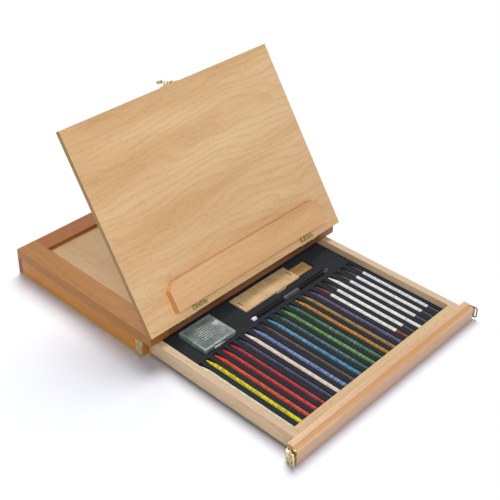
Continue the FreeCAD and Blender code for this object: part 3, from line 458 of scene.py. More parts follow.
FINISHES: dict[str, Finish] = {
    # Beech under an amber varnish: orange-brown and satin.
    "case_y": Wood("varnished_beech_along_y", "#AE7A3A", "#A46D31", "#8C5621", Grain.ALONG_Y,
                   "#965925", 14.0, 0.3),
    # Painted light: the walls are painted lighter, making up for less light on their outer faces.
    "case_side": Wood("varnished_beech_side_painted_light", "#CB8C42", "#BF7E38", "#A46426", Grain.ALONG_Y,
                      "#AA6329", 14.0, 0.3, seed=0.63),
    # Painted shade: the back wall, back rail and drawer stop are painted darker and redder, for the
    # shade on the back rail's inner face.
    "case_x": Wood("varnished_beech_along_x_painted_shade", "#A16127", "#995921", "#814517", Grain.ALONG_X,
                   "#864A1A", 14.0, 0.3, seed=0.37),
    # The drawer is sanded beech without varnish, so it is pale and matt.
    "drawer_y": Wood("sanded_beech_along_y", "#D7C0A1", "#CEB18F", "#B7916A", Grain.ALONG_Y,
                     "#B0885C", 7.0, 0.3, roughness=0.5),
    "drawer_x": Wood("sanded_beech_along_x", "#D8BC90", "#CEAE82", "#B58A59", Grain.ALONG_X,
                     "#A26C3E", 7.0, 0.3, roughness=0.5, seed=0.21),
    # Painted shade: the cove along its front is painted darker and its outer face greyer.
    "drawer_front": Wood("sanded_beech_moulded_front", "#E0BE98", "#D6B088", "#BC8C60",
                         Grain.ALONG_X, "#A2683A", 7.0, 0.3, roughness=0.5, seed=0.43,
                         cove_shade="#D39A66", outer="#CBAA92"),
    # Birch ply with a satin varnish: wide soft figure, and olive and cream plies on its edges.
    "board": Wood("birch_ply_board", "#E6C495", "#DBB17F", "#C49461", Grain.BOARD, line_mm=11.0,
                  line_depth=0.4, line_edge=0.55, waver=9.5, fleck=0.3,
                  plies=("#6E5420", "#927032", "#B28C48")),
    # Painted shade: the rail behind the drawer's opening is painted darker than the others, for the
    # shade under the board's lower edge.
    "front_rail": Wood("beech_front_rail_painted_shade", "#8E5E3C", "#7E5032", "#5E3820", Grain.ALONG_X,
                       "#5A3820", 12.0, 0.3, seed=0.7),
    # The ledge is beech under a clear varnish, warm and even.
    "ledge": Wood("varnished_beech_ledge", "#F0C38E", "#E8B57D", "#D0935A", Grain.BOARD,
                  "#B87D3F", 12.0, 0.25, seed=0.11),
    # Thin sanded ply in the recess, the case's bottom and the drawer's: matt, with pale edges.
    "panel": Wood("sanded_ply_panel", "#C8AA83", "#BD9D76", "#9E7D53", Grain.ALONG_Y,
                  line_mm=5.0, line_depth=0.45, seed=0.5, roughness=0.55,
                  plies=("#AF905F", "#CFB78E", "#E3CEAB"), ply_mm=2.6),
    # The prop's legs and rail are sanded beech, pale and matt as the drawer is.
    "prop": Wood("sanded_beech_prop", "#E0C09A", "#D4AE84", "#BC9064", Grain.PROP, roughness=0.5),
    "prop_rail": Wood("sanded_beech_prop_rail", "#E0C09A", "#D4AE84", "#BC9064",
                      Grain.PROP_RAIL, roughness=0.5),
    # The pad's paddle is close-grained wood under a satin varnish.
    "paddle": Wood("varnished_paddle_wood", "#DDB37C", "#C59A62", "#9B7646", Grain.ALONG_X,
                   "#AC834F", 6.0),
    # Stamped brass under lacquer, mottled at random pale and brown: painted glints and painted
    # shade.
    "brass": Plain("lacquered_stamped_brass", "#BCA874", "#5C4A2C", 2.4, 0.26, 0.9, bump_mm=0.3),
    # Painted highlight: a paler copy of the stamped brass on the latches, keepers and catch,
    # mottled brown as painted shade.
    "bright_brass": Plain("stamped_brass_painted_highlight", "#EADCB0", "#9A8150", 2.6, 0.30, 0.7,
                          bump_mm=0.2),
    # Painted shade: a darker copy of the brass for the right latch's bent wire, with a dull shine.
    "dark_brass": Plain("brass_wire_painted_shade", "#5A4630", "#6E5636", 2.0, 0.40, 0.6),
    # A drawn steel band, which mirrors softly.
    "steel": Plain("drawn_steel_band", "#5C5C62", "#3A3A40", 2.0, 0.36, 1.0),
    # Staple wire: nearly black and dull.
    "staple": Plain("dull_steel_wire", "#30261E", "#221A14", 1.0, 0.5, 0.2),
    # Closed-cell foam: dark, dull and pitted. Its cells are too fine to show, so they are coarser.
    "foam": Plain("closed_cell_foam", "#282B2E", "#34373A", 1.5, 0.95, bump_mm=0.2, gloss=0.1),
    # Moulded clear polystyrene over dark foam: a smoky grey-green. Its rim, sides, ribs and tab are
    # painted paler as a painted highlight.
    "clear": Plain("clear_polystyrene", "#707C78", "#98A6A0", 26.0, 0.16, 0.0, 0.25, bump_mm=0.0),
    "clear_painted_highlight": Plain("clear_polystyrene_painted_highlight", "#A2AEA8", "#7A8882", 9.0, 0.18, 0.0, 0.2,
                        bump_mm=0.0),
    # The holder's barrel is lacquered black, with little shine.
    "black": Plain("black_lacquer", "#08080A", "#101012", 6.0, 0.5, gloss=0.1),
    # Its cap is turned and dark anodised, a soft grey metal.
    "dark_cap": Plain("dark_anodised_aluminium", "#4C4C50", "#303034", 1.2, 0.45, 0.6),
    # Pressed chalk: white and quite matt.
    "chalk": Plain("white_chalk", "#F4F4F2", "#E8E8E6", 1.0, 0.9),
    # Moulded rubber feet: black and matt.
    "rubber": Plain("black_rubber", "#1A1A1A", "#242424", 2.0, 0.8),
    # Kraft-backed sandpaper: the cover is tan and smooth, the sheets' edges paler.
    "kraft": Plain("kraft_cover_paper", "#DDBB8C", "#C9A674", 14.0, 0.75, bump_mm=0.05),
    "sheets": Plain("sandpaper_sheet_edges", "#F0DAB2", "#C8A878", 0.6, 0.85, bump_mm=0.1),
}

FINISH_NODES: dict[str, tuple[str, ...]] = {
    "case_side": ("wall_left", "wall_right"),
    "case_x": ("wall_back", "frame_rail_back", "drawer_stop"),
    "case_y": ("frame_rail_left", "frame_rail_right"),
    "front_rail": ("frame_rail_front",),
    "panel": ("case_bottom", "recess_panel", "drawer_bottom"),
    "drawer_y": ("drawer_side_left", "drawer_side_right"),
    "drawer_x": ("drawer_inner_front", "drawer_back"),
    "drawer_front": ("drawer_front",),
    "board": ("easel_board",),
    "ledge": ("ledge",),
    "prop": ("prop_leg_left", "prop_leg_right"),
    "prop_rail": ("prop_cross_rail",),
    "foam": ("foam_insert",),
    "clear": ("plastic_case_base", "plastic_case_lid"),
    "paddle": ("sandpaper_paddle",),
    "steel": ("holder_band",),
    "black": ("holder_barrel",),
    "dark_cap": ("holder_cap",),
    "chalk": ("holder_tip",),
    "rubber": ("prop_feet",),
    "bright_brass": ("keeper_left", "keeper_right", "catch_keeper", "latch_base_left",
                     "latch_base_right", "latch_lever_left", "latch_lever_right", "catch_base",
                     "catch_hasp", "latch_bail_left"),
    # The right latch's wire alone takes the brass's painted-shade copy.
    "dark_brass": ("latch_bail_right",),
}
OTHER_NODES = "brass"       # finish of every node that is not named above


class Workshop:
    """Keeps each finish that was built, so that pieces share it."""

    def __init__(self) -> None:
        """Start with no materials."""
        self.built: dict[str, bpy.types.Material] = {}

    def finish(self, key: str) -> bpy.types.Material:
        """Return the material of a named finish, built once.

        Args:
            key: a name in FINISHES.

        Returns:
            The material.
        """
        if key not in self.built:
            self.built[key] = FINISHES[key].build()
        return self.built[key]


WORKSHOP = Workshop()
MERGE_MM = 1e-5         # corners closer than this are one
CUT_MM = 1e-6           # how closely a cut passes by a corner
SMOOTH_ANGLE = 40.0     # angle in degrees below which two faces look like one curve


class Form:
    """A mesh in the making, in millimetres, with the few shapes that the small pieces share."""

    def __init__(self) -> None:
        """Start an empty mesh."""
        self.shape = bmesh.new()

    def block(self, low: Vector, high: Vector, ease: float = 0.0, steps: int = 2,
              number: int = 0) -> list[bmesh.types.BMVert]:
        """Add a box with rounded edges.

        Args:
            low: its lowest corner.
            high: its highest corner.
            ease: radius of the edges.
            steps: segments of the rounding.
            number: material number of its faces.

        Returns:
            The new vertices.
        """
        before = set(self.shape.verts)
        place = Matrix.Translation((low + high) / 2) @ Matrix.Diagonal((*(high - low), 1.0))
        cube = bmesh.ops.create_cube(self.shape, size=1.0, matrix=place)["verts"]
        if ease > 0:
            edges = list({edge for vertex in cube for edge in vertex.link_edges})
            bmesh.ops.bevel(self.shape, geom=edges, offset=ease, segments=steps, profile=0.5,
                            affect="EDGES", material=-1)
        made = [vertex for vertex in self.shape.verts if vertex not in before]
        for vertex in made:
            for face in vertex.link_faces:
                face.material_index = number
        return made

    def lathe(self, profile: Sequence[tuple[float, float]], steps: int, place: Matrix) -> None:
        """Turn an outline about its own axis and put it in place.

        Args:
            profile: pairs of radius and distance along the axis.
            steps: sides of the turned shape.
            place: where its axis, drawn along Z, goes.
        """
        before = set(self.shape.verts)
        points = [self.shape.verts.new((radius, 0.0, along)) for radius, along in profile]
        edges = [self.shape.edges.new(pair) for pair in zip(points, points[1:])]
        bmesh.ops.spin(self.shape, geom=points + edges, cent=(0, 0, 0), axis=(0, 0, 1),
                       angle=2 * math.pi, steps=steps, use_merge=True)
        made = [vertex for vertex in self.shape.verts if vertex not in before]
        bmesh.ops.remove_doubles(self.shape, verts=made, dist=MERGE_MM)
        made = [vertex for vertex in self.shape.verts if vertex not in before]
        bmesh.ops.transform(self.shape, matrix=place, verts=made)

    def mesh(self, name: str) -> bpy.types.Mesh:
        """Turn the shape into a mesh, and let go of it.

        Args:
            name: the mesh's name.

        Returns:
            The mesh.
        """
        mesh = bpy.data.meshes.new(name)
        self.shape.to_mesh(mesh)
        self.shape.free()
        return mesh

    def done(self, name: str, finishes: Sequence[bpy.types.Material], body: str,
             smooth: float = SMOOTH_ANGLE, stands_for: Sequence[str] = ()) -> None:
        """Turn the mesh into a finished piece that rides on a body.

        Args:
            name: the piece's name.
            finishes: its materials, in the order of the faces' material numbers.
            body: the CAD body that it rides on.
            smooth: angle in degrees below which two faces look like one curve.
            stands_for: CAD nodes that it replaces.
        """
        bmesh.ops.recalc_face_normals(self.shape, faces=self.shape.faces)
        bmesh.ops.scale(self.shape, vec=(MM, MM, MM), verts=self.shape.verts)
        for face in self.shape.faces:
            face.smooth = True
        for edge in self.shape.edges:
            if len(edge.link_faces) == 2 and edge.calc_face_angle() > math.radians(smooth):
                edge.smooth = False
        mesh = self.mesh(name)
        for material in finishes:
            mesh.materials.append(material)
        piece = bpy.data.objects.new(name, mesh)
        bpy.context.scene.collection.objects.link(piece)
        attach(piece, body)
        if stands_for:
            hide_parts(*stands_for)
        LOG.info("made %s on %s", name, body)


@dataclass
class Screws:
    """A set of slotted screw heads on one body."""

    name: str
    body: str
    head: Head
    places: Places              # where each stands, mm, and its axis
    slot_width: float = 0.45
    slot_floor: float = 0.45    # height of the slot's floor, as a share of the head's height
    turn: float = 25.0          # how far each slot is turned from the last, degrees
    sides: int = 16
    faces_up: float = 0.2       # least upward part of a face that the slot is cut in
    dome: Sequence[tuple[float, float]] = (     # its outline, as shares of radius and height
        (0.0, 1.0), (0.5, 0.86), (0.85, 0.45), (1.0, 0.0), (0.0, 0.0))

    def build(self) -> None:
        """Make every head of the set as one piece."""
        pattern = self.pattern()
        form = Form()
        for index, (point, axis) in enumerate(self.places):
            before = set(form.shape.verts)
            form.shape.from_mesh(pattern)
            made = [vertex for vertex in form.shape.verts if vertex not in before]
            upright_turn = axis.to_track_quat("Z", "Y").to_matrix().to_4x4()
            place = Matrix.Translation(point) @ upright_turn @ \
                Matrix.Rotation(math.radians(self.turn * (index + 1)), 4, "Z")
            bmesh.ops.transform(form.shape, matrix=place, verts=made)
        bpy.data.meshes.remove(pattern)
        form.done(self.name, [WORKSHOP.finish("brass")], self.body)

    def pattern(self) -> bpy.types.Mesh:
        """Make one head, its axis along Z.

        Returns:
            The head as a mesh, to be copied.
        """
        radius, height = self.head.value
        form = Form()
        form.lathe([(radius * out, height * up) for out, up in self.dome], self.sides,
                   Matrix.Identity(4))
        half = self.slot_width / 2
        for side in (-half, half):
            geometry = form.shape.verts[:] + form.shape.edges[:] + form.shape.faces[:]
            bmesh.ops.bisect_plane(form.shape, geom=geometry, dist=CUT_MM,
                                   plane_co=(0, side, 0), plane_no=(0, 1, 0))
        bmesh.ops.recalc_face_normals(form.shape, faces=form.shape.faces)
        strip = [face for face in form.shape.faces
                 if abs(face.calc_center_median().y) < half and face.normal.z > self.faces_up]
        sunk = bmesh.ops.extrude_face_region(form.shape, geom=strip)["geom"]
        bmesh.ops.delete(form.shape, geom=strip, context="FACES_ONLY")
        for item in sunk:
            if isinstance(item, bmesh.types.BMVert):
                item.co.z = min(item.co.z, height * self.slot_floor)
        return form.mesh("screw_pattern")


class Drawn(Enum):
    """How a pencil's lacquer runs along it."""

    PLAIN = "one colour"
    DIPPED = "pale barrel with coloured ends"


@dataclass(frozen=True)
class Colour:
    """One pencil's lacquer."""

    paint: str
    mark: str
    drawn: Drawn = Drawn.PLAIN
    barrel: str = "#D2D3CD"     # a dipped pencil's barrel


@dataclass
class Pencils:
    """The row of pastel pencils in the foam's grooves; sizes in mm."""

    pitch: float = 15.43
    middle: float = -0.95
    height: float = 12.8
    tail: float = -391.6
    shoulder: float = -236.6
    tip: float = -216.6
    radius: float = 4.0
    tip_radius: float = 0.6
    core_radius: float = 1.1
    ease: float = 0.35              # how far the core is sunk and the end's edge rounded
    hollow: float = 0.55            # the cone's radius half way, as a share of the barrel's
    shoulder_ease: float = 1.2      # where the barrel starts to thin
    shoulder_step: float = 0.12
    point_length: float = 1.2       # the blunt end of the core
    point_flare: float = 0.25
    point_round: float = 0.3
    core_margin: float = 0.2        # how far past its radius the core's colour is given
    core_depth: float = 0.5
    sides: int = 20
    smooth: float = 35.0
    paint_from: float = -367.0      # the pale part of a dipped pencil
    paint_to: float = -248.0
    barrel_gain: float = 1.28
    cone_gain: float = 1.75         # the cones are made brighter than the barrels
    barrel_print: float = 0.22
    cone_print: float = 0.1
    pale_above: float = 1.2         # sum of the linear colour above which a pencil is pale
    pale_shade: str = "#C6C6CA"
    strong_shade: str = "#74747A"
    core_roughness: float = 0.9
    core_mottle: float = 2.0
    colours: Sequence[Colour] = (
        Colour("#C3C7AF", "#4A4A44"), Colour("#C4B816", "#6A6A30"),
        Colour("#B83A1C", "#D89078"), Colour("#AC1C26", "#C87074"),
        Colour("#8C1229", "#B86078"), Colour("#282645", "#8A8AB0"),
        Colour("#CEB8B2", "#3A3436"), Colour("#5A6E9D", "#E0E4F4"),
        Colour("#362C30", "#9A8E8A"), Colour("#387596", "#E0F0F8"),
        Colour("#1F4445", "#A0C8C8", Drawn.DIPPED, "#235051"),
        Colour("#407837", "#D8ECD0"), Colour("#1D5A36", "#C8E0D0"),
        Colour("#A67020", "#5A4420"), Colour("#876A36", "#4A3A24"),
        Colour("#42375A", "#B0A8C8"), Colour("#68291A", "#4A4A4A", Drawn.DIPPED),
        Colour("#1D1D20", "#4A4A4A", Drawn.DIPPED), Colour("#D2D2CF", "#4A4A50"),
        Colour("#25282C", "#5A5E64", Drawn.DIPPED, "#C7CBCD"),
        Colour("#1A1F29", "#4A4A50", Drawn.DIPPED),
        Colour("#1A1F29", "#4A4A50", Drawn.DIPPED, "#C1C6CF"),
    )

    def build(self) -> None:
        """Make every pencil as its own piece."""
        for index, colour in enumerate(self.colours):
            across = self.middle + self.pitch * (index - (len(self.colours) - 1) / 2)
            self.pencil(f"pencil_{index + 1:02d}", across, colour)

    def outline(self) -> list[tuple[float, float]]:
        """Draw a pencil's outline.

        Returns:
            Pairs of radius and distance from its tail.
        """
        length = self.tip - self.tail
        cone = self.shoulder - self.tail
        return [
            (0.0, self.ease), (self.core_radius, self.ease), (self.core_radius, 0.0),
            (self.radius - self.ease, 0.0), (self.radius, self.ease),
            (self.radius, self.paint_from - self.tail), (self.radius, self.paint_to - self.tail),
            (self.radius, cone - self.shoulder_ease), (self.radius - self.shoulder_step, cone),
            (self.radius * self.hollow + self.tip_radius * (1 - self.hollow), (cone + length) / 2),
            (self.tip_radius + self.point_flare, length - self.point_length),
            (self.tip_radius, length - self.point_round), (0.0, length),
        ]

    def pencil(self, name: str, across: float, colour: Colour) -> None:
        """Make one pencil.

        Args:
            name: the piece's name.
            across: where its axis is across the drawer.
            colour: its lacquer.
        """
        form = Form()
        place = Matrix.Translation((across, self.tail, self.height)) @ \
            Matrix.Rotation(math.radians(-90), 4, "X")
        form.lathe(self.outline(), self.sides, place)
        dipped = colour.drawn is Drawn.DIPPED
        start, stop = (self.paint_from, self.paint_to) if dipped else (self.shoulder, self.tip)
        for face in form.shape.faces:
            centre = face.calc_center_median()
            from_axis = (centre.xz - Vector((across, self.height))).length
            face.material_index = int(start < centre.y < stop)
            at_tail = centre.y < self.tail + self.core_depth
            if at_tail and from_axis < self.core_radius + self.core_margin:
                face.material_index = 2
        if dipped:
            other = self.lacquer(f"{name}_barrel_lacquer", colour.barrel, colour.mark,
                                 self.barrel_gain, self.barrel_print)
        else:
            other = self.lacquer(f"{name}_sharpened_cone", colour.paint, colour.mark,
                                 self.cone_gain, self.cone_print)
        finishes = (
            self.lacquer(f"{name}_lacquer", colour.paint, colour.mark, self.barrel_gain,
                         self.barrel_print),
            other,
            Plain(f"{name}_pastel_core", colour.paint, mottle_mm=self.core_mottle,
                  roughness=self.core_roughness),
        )
        form.done(name, [finish.build() for finish in finishes], "drawer",
                  self.smooth, ("pencil_barrels", "pencil_points"))

    def lacquer(self, name: str, paint: str, mark: str, gain: float,
                strength: float) -> PencilPaint:
        """Return a lacquer whose handled patches are dull if it is strong and faint if pale.

        Args:
            name: the finish's name.
            paint: its colour.
            mark: colour of its print.
            gain: how much fresher it is than the hex value.
            strength: how strongly the print shows.

        Returns:
            The finish.
        """
        pale = sum(linear(paint)[:3]) > self.pale_above
        return PencilPaint(name, paint, mark, strength, gain,
                           self.pale_shade if pale else self.strong_shade)


@dataclass
class SandpaperPad:
    """A stapled pad of sandpaper sheets under a kraft cover, on its paddle; sizes in mm."""

    low: Point = (-36.0, -187.0, 11.5)
    high: Point = (82.0, -153.0, 17.5)
    cover: float = 0.7
    cover_ease: float = 0.25
    sheets: int = 7
    gap: float = 0.06               # the line that shows between two sheets
    slip: tuple[float, float] = (0.05, 0.5)     # least and most that a sheet is out of line
    seed: int = 7
    staple_from_middle: float = 53.0
    staple_length: float = 12.0
    staple_ease: float = 0.15
    wire: float = 0.9
    sunk: float = 0.4               # how deep the staples sit in the cover
    proud: float = 0.6              # how far they stand up, as a share of the wire

    def build(self) -> None:
        """Make the sheets, the cover and the staples."""
        low, high = Vector(self.low), Vector(self.high)
        form = Form()
        top = high.z - self.cover
        step = (top - low.z) / self.sheets
        draw = random.Random(self.seed)
        for index in range(self.sheets):
            shift = 0.0 if index in (0, self.sheets - 1) else draw.uniform(*self.slip)
            form.block(Vector((low.x + shift, low.y + shift, low.z + index * step)),
                       Vector((high.x - shift, high.y - shift,
                               low.z + (index + 1) * step - self.gap)), number=1)
        form.block(Vector((low.x, low.y, top)), high, self.cover_ease)
        form.done("sandpaper_pad_sheets", [WORKSHOP.finish("kraft"), WORKSHOP.finish("sheets")],
                  "drawer", stands_for=("sandpaper_pad",))
        self.staples((low + high) / 2, high.z)

    def staples(self, middle: Vector, height: float) -> None:
        """Make the two staples that hold the pad.

        Args:
            middle: middle of the pad.
            height: its top.
        """
        form = Form()
        half = Vector((self.wire / 2, self.staple_length / 2))
        for side in (-1, 1):
            x = middle.x + side * self.staple_from_middle
            form.block(Vector((x - half.x, middle.y - half.y, height - self.sunk)),
                       Vector((x + half.x, middle.y + half.y, height + self.wire * self.proud)),
                       self.staple_ease)
        form.done("pad_staples", [WORKSHOP.finish("staple")], "drawer")


@dataclass
class PlasticLid:
    """The clear lid of the small plastic case: a raised rim, a sunk panel with ribs, and a tab."""

    edge: float = 0.8           # flat band outside the rim, mm
    rim: float = 4.0            # width of the raised rim
    sunk: float = 0.6
    ease: float = 1.4
    ribs: int = 7
    rib_length: float = 34.0
    rib_width: float = 1.3
    rib_pitch: float = 3.9
    rib_ease: float = 0.25
    rib_shift: float = 1.5      # how far the ribs stand behind the panel's middle
    rib_sunk: float = 0.2       # how deep they are rooted in the panel
    rib_below: float = 0.1      # how far they stay under the rim
    tab_depth: float = 3.0
    tab_half: float = 10.0
    tab_shift: float = -4.5
    tab_height: float = 1.6
    tab_ease: float = 0.5
    tab_overlap: float = 0.5
    level: float = 0.9          # upward part of a face above which it lies flat
    steep: float = 0.8          # and below which it is a side

    def build(self) -> None:
        """Make the lid in the place of the CAD's plain one."""
        low, high = (Vector(corner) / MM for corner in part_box("plastic_case_lid"))
        form = Form()
        front = low.y + self.tab_depth
        top = high.z - self.sunk
        body = form.block(Vector((low.x, front, low.z)), Vector((high.x, high.y, top)),
                          self.ease, 3)
        panel = max({face for vertex in body for face in vertex.link_faces},
                    key=lambda face: face.calc_center_median().z + face.calc_area() * 1e-3)
        for width in (self.edge, self.rim):
            bmesh.ops.inset_region(form.shape, faces=[panel], thickness=width, depth=0.0)
        for corner in panel.verts:
            corner.co.z -= self.sunk
        # Painted highlight: the rim's flat tops and all the sides take the paler finish, as the
        # ribs and tab do.
        for face in form.shape.faces:
            rises = face.normal.z > self.level and face is not panel
            face.material_index = int(rises or abs(face.normal.z) < self.steep)
        middle = (low + high) / 2
        self.add_ribs(form, middle.x, (front + high.y) / 2 + self.rib_shift, top)
        tab = middle.x + self.tab_shift
        form.block(Vector((tab - self.tab_half, low.y, low.z)),
                   Vector((tab + self.tab_half, front + self.tab_overlap,
                           low.z + self.tab_height)),
                   self.tab_ease, number=1)
        form.done("plastic_case_ribbed_lid",
                  [WORKSHOP.finish("clear"), WORKSHOP.finish("clear_painted_highlight")], "drawer",
                  stands_for=("plastic_case_lid",))

    def add_ribs(self, form: Form, x: float, middle: float, top: float) -> None:
        """Add the ribs across the sunk panel.

        Args:
            form: the lid so far.
            x: middle of the ribs' length.
            middle: middle of the row of ribs.
            top: height of the rim.
        """
        for index in range(self.ribs):
            y = middle + (index - (self.ribs - 1) / 2) * self.rib_pitch
            form.block(Vector((x - self.rib_length / 2, y - self.rib_width / 2,
                               top - self.sunk - self.rib_sunk)),
                       Vector((x + self.rib_length / 2, y + self.rib_width / 2,
                               top - self.rib_below)),
                       self.rib_ease, number=1)


def upright(points: Sequence[Point], axis: Point, turn: Optional[Matrix] = None) -> Places:
    """Return places with one axis, turned together.

    Args:
        points: where each screw stands, mm.
        axis: the way its head faces.
        turn: a turn given to all of them.

    Returns:
        Pairs of point and axis.
    """
    turn = turn or Matrix.Identity(4)
    facing = (turn.to_3x3() @ Vector(axis)).normalized()
    return [(turn @ Vector(point), facing) for point in points]


@dataclass
class Fittings:
    """Every set of screws on the box; sizes in mm, with the board and prop closed."""

    ledge_hinges: tuple[float, float] = (-106.0, 124.0)     # middles of the ledge's hinges
    ledge_spread: float = 9.0       # from a hinge's middle to its screw
    ledge_offset: float = 9.5       # behind and above the board's hinge axis
    catch_spread: float = 11.0
    catch_back: float = 146.3
    catch_height: float = 49.5
    prop_legs: float = 70.0         # middles of the prop's legs, to either side
    prop_spread: float = 5.0
    prop_board_offset: float = 117.0
    prop_board_height: float = 44.7
    prop_back: float = -25.5
    prop_height: float = 44.3
    board_hinges: float = 130.0     # middles of the board's hinges, to either side
    board_spread: float = 6.0
    case_spread: float = 12.0
    hinge_back: float = -151.5
    board_leaf: float = 45.2
    case_leaf: float = 44.8
    plate_face: float = 197.0       # outer face of the keepers and latches, to either side
    keeper_back: float = -134.7
    keeper_heights: tuple[float, float] = (6.0, 24.0)
    stud_spread: float = 6.0
    stud_back: float = 142.5
    stud_height: float = 35.7
    latch_backs: tuple[float, float] = (-411.3, -417.7)
    latch_height: float = 12.5

    def build(self) -> None:
        """Make every set."""
        board, prop = raise_board(), fold_prop()
        sides = (-1, 1)
        up, down, behind = (0, 0, 1), (0, 0, -1), (0, 1, 0)
        legs = [side * self.prop_legs + spread * self.prop_spread
                for side in sides for spread in sides]
        ledge = [(centre + side * self.ledge_spread, HINGE.y + self.ledge_offset,
                  HINGE.z + self.ledge_offset) for centre in self.ledge_hinges for side in sides]
        catch = [(side * self.catch_spread, self.catch_back, self.catch_height) for side in sides]
        stud = [(side * self.stud_spread, self.stud_back, self.stud_height) for side in sides]
        on_board, on_prop = HINGE.y + self.prop_board_offset, self.prop_back
        keepers = [place for side in sides for place in upright(
            [(side * self.plate_face, self.keeper_back, z) for z in self.keeper_heights],
            (side, 0, 0))]
        latches = [place for side in sides for place in upright(
            [(side * self.plate_face, y, self.latch_height) for y in self.latch_backs],
            (side, 0, 0))]
        for screws in (
            Screws("ledge_hinge_screws", "board", Head.ROUND, upright(ledge, up, board)),
            Screws("catch_screws", "board", Head.SMALL_ROUND, upright(catch, behind, board)),
            Screws("prop_hinge_board_screws", "board", Head.FLUSH, upright(
                [(x, on_board, self.prop_board_height) for x in legs], down, board)),
            Screws("prop_hinge_screws", "prop", Head.FLUSH, upright(
                [(x, on_prop, self.prop_height) for x in legs], up, prop)),
            Screws("board_hinge_board_screws", "board", Head.FLUSH, upright(
                self.leaf(self.board_spread, self.board_leaf), down, board)),
            Screws("board_hinge_case_screws", "case", Head.FLUSH, upright(
                self.leaf(self.case_spread, self.case_leaf), up)),
            Screws("keeper_screws", "case", Head.SMALL_ROUND, keepers + upright(stud, behind)),
            Screws("latch_screws", "drawer", Head.SMALL_ROUND, latches),
        ):
            screws.build()

    def leaf(self, spread: float, height: float) -> list[Point]:
        """Return the screw places on one kind of leaf of the board's two hinges.

        Args:
            spread: from a hinge's middle to its screws.
            height: of the leaf's face.

        Returns:
            The places.
        """
        return [(side * self.board_hinges + nudge * spread, self.hinge_back, height)
                for side in (-1, 1) for nudge in (-1, 1)]


@dataclass
class Viewpoint:
    """The camera: where it stands, as turns about the object, and its lens."""

    azimuth: float = -47.37
    elevation: float = 32.16
    roll: float = 1.18
    distance_mm: float = 1756.9
    focal_px: float = 1031.8
    frame_px: float = 500.0
    centre_px: tuple[float, float] = (244.2, 194.4)
    target_mm: Point = (190.4, 30.3, 20.0)
    sensor_mm: float = 36.0
    far_m: float = 50.0

    def build(self) -> None:
        """Put the camera in place and make it the scene's."""
        azimuth, elevation, roll = (math.radians(v) for v in (self.azimuth, self.elevation,
                                                              self.roll))
        back = Vector((math.sin(azimuth) * math.cos(elevation),
                       -math.cos(azimuth) * math.cos(elevation), math.sin(elevation)))
        right = Vector((0, 0, 1)).cross(back).normalized()
        up = back.cross(right)
        right_rolled = right * math.cos(roll) + up * math.sin(roll)
        up_rolled = up * math.cos(roll) - right * math.sin(roll)
        data = bpy.data.cameras.new("camera")
        data.sensor_width = self.sensor_mm
        data.lens = self.focal_px / self.frame_px * self.sensor_mm
        data.shift_x = 0.5 - self.centre_px[0] / self.frame_px
        data.shift_y = self.centre_px[1] / self.frame_px - 0.5
        data.clip_end = self.far_m
        camera = bpy.data.objects.new("camera", data)
        turn = Matrix((right_rolled, up_rolled, back)).transposed().to_4x4()
        place = (Vector(self.target_mm) + back * self.distance_mm) * MM
        camera.matrix_world = Matrix.Translation(place) @ turn
        bpy.context.scene.collection.objects.link(camera)
        bpy.context.scene.camera = camera


@dataclass
class Lamp:
    """A soft lamp that looks at the middle of the box; sizes in metres."""

    name: str
    place: Point
    power: float                    # watts; watts per square metre if it has a spread
    size: float = 1.0               # side of a square lamp
    tint: str = "#FFFFFF"
    spread: float = 0.0             # degrees; with one, it stands so far off that it never fades
    passes: Sequence[str] = ()      # pieces that cast no shadow in its light
    spares: Sequence[str] = ()      # pieces that its light leaves out
    only: Sequence[str] = ()        # the only pieces that it lights, if any are named
    aim: Point = (0.0, -0.1, 0.05)

    def build(self) -> None:
        """Hang the lamp."""
        data = bpy.data.lights.new(self.name, "SUN" if self.spread else "AREA")
        data.energy = self.power
        if self.spread:
            data.angle = math.radians(self.spread)
        else:
            data.size = self.size
        data.color = linear(self.tint)[:3]
        lamp = bpy.data.objects.new(self.name, data)
        lamp.location = self.place
        towards = Vector(self.aim) - Vector(self.place)
        lamp.rotation_euler = towards.to_track_quat("-Z", "Y").to_euler()
        bpy.context.scene.collection.objects.link(lamp)
        linking = lamp.light_linking
        if self.passes:
            linking.blocker_collection = self.linked("blockers", self.passes, "EXCLUDE")
        if self.spares:
            linking.receiver_collection = self.linked("spared", self.spares, "EXCLUDE")
        if self.only:
            linking.receiver_collection = self.linked("lit", self.only, "INCLUDE")

    def linked(self, use: str, names: Sequence[str], state: str) -> bpy.types.Collection:
        """Return a light-linking collection.

        Args:
            use: what the collection is for.
            names: the pieces in it.
            state: whether they are left out or taken in.

        Returns:
            The collection.
        """
        group = bpy.data.collections.new(f"{self.name}_{use}")
        for name in names:
            group.objects.link(bpy.data.objects[name])
        for entry in group.collection_objects:
            entry.light_linking.link_state = state
        return group


LEDGE = ("ledge", "ledge_hinge_leaves")
RAISED = (*LEDGE, "ledge_hinge_board_leaves", "easel_board", "prop_leg_left", "prop_leg_right",
          "prop_cross_rail", "catch_base", "catch_hasp")


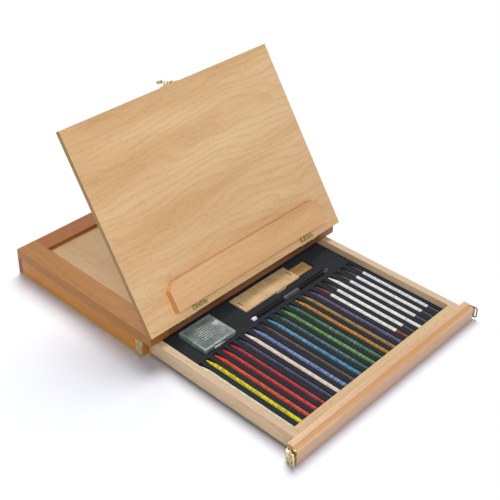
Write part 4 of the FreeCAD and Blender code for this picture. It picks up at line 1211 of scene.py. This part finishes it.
@dataclass
class Studio:
    """A pale floor, soft lamps and a white surround."""

    floor_size: float = 12.0
    floor_colour: str = "#F1F2F6"
    floor_roughness: float = 0.9
    floor_gloss: float = 0.1
    surround: float = 0.35
    surround_tint: str = "#EEF2FF"
    lamps: Sequence[Lamp] = (
        # The floor's own lamp lights nothing else, and the whole box shades it.
        Lamp("floor_lamp", (1.05, 0.9, 2.74), 3.0, spread=40.0, only=("floor",)),
        # The key lamp reaches the drawer as if the raised board weren't there.
        Lamp("key_lamp", (1.26, 1.08, 2.74), 48.0, 1.0, "#FFFBF4", passes=RAISED,
             spares=("floor", *LEDGE, "ledge_hinge_board_leaves")),
        Lamp("fill_lamp", (-1.5, -1.75, 2.1), 48.0, 1.6, spares=("floor",)),
    )

    def build(self) -> None:
        """Make the floor, the world and the lamps."""
        self.floor()
        self.world()
        for lamp in self.lamps:
            lamp.build()
        bpy.context.scene.view_settings.view_transform = "Standard"

    def floor(self) -> None:
        """Make the pale floor that keeps the object's shadow."""
        form = Form()
        bmesh.ops.create_grid(form.shape, x_segments=1, y_segments=1, size=self.floor_size)
        floor = bpy.data.objects.new("floor", form.mesh("floor"))
        bpy.context.scene.collection.objects.link(floor)
        material = bpy.data.materials.new("matt_pale_floor")
        shader = Shader(material)
        matt = shader.add("BsdfPrincipled", Base_Color=linear(self.floor_colour),
                          Roughness=self.floor_roughness, Specular_IOR_Level=self.floor_gloss)[0]
        shader.add("OutputMaterial", Surface=matt)
        floor.data.materials.append(material)

    def world(self) -> None:
        """Light from all round, white where the camera, a gloss or a clear piece looks at it."""
        world = bpy.data.worlds.new("studio")
        shader = Shader(world)
        rays = shader.add("LightPath")
        seen = rays["Is Camera Ray"]
        for kind in ("Is Glossy Ray", "Is Transmission Ray"):
            seen = shader.add("Math", {"operation": "ADD", "use_clamp": True}, _0=seen,
                              _1=rays[kind])[0]
        strength = shader.add("MapRange", Value=seen, To_Min=self.surround)[0]
        colour = shader.add("Mix", {"data_type": "RGBA"}, _0=seen,
                            _6=linear(self.surround_tint), _7=linear("#FFFFFF"))[2]
        surround = shader.add("Background", Strength=strength, Color=colour)[0]
        shader.add("OutputWorld", Surface=surround)
        bpy.context.scene.world = world


class Carcass:
    """Every piece that comes from model.glb, with the finish of its material; a few finishes carry
    painted light or shade.
    """

    def dress(self) -> None:
        """Give each carried-over piece its finish."""
        finish_of = {node: key for key, nodes in FINISH_NODES.items() for node in nodes}
        for name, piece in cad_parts.items():
            material = WORKSHOP.finish(finish_of.get(name, OTHER_NODES))
            piece.data.materials.clear()
            piece.data.materials.append(material)
            LOG.info("dressed %s in %s", name, material.name)


def main() -> None:
    """Build the scene."""
    logging.basicConfig(level=logging.INFO)
    Viewpoint().build()
    Carcass().dress()
    Fittings().build()
    Pencils().build()
    SandpaperPad().build()
    PlasticLid().build()
    Studio().build()


if __name__ == "__main__":
    main()
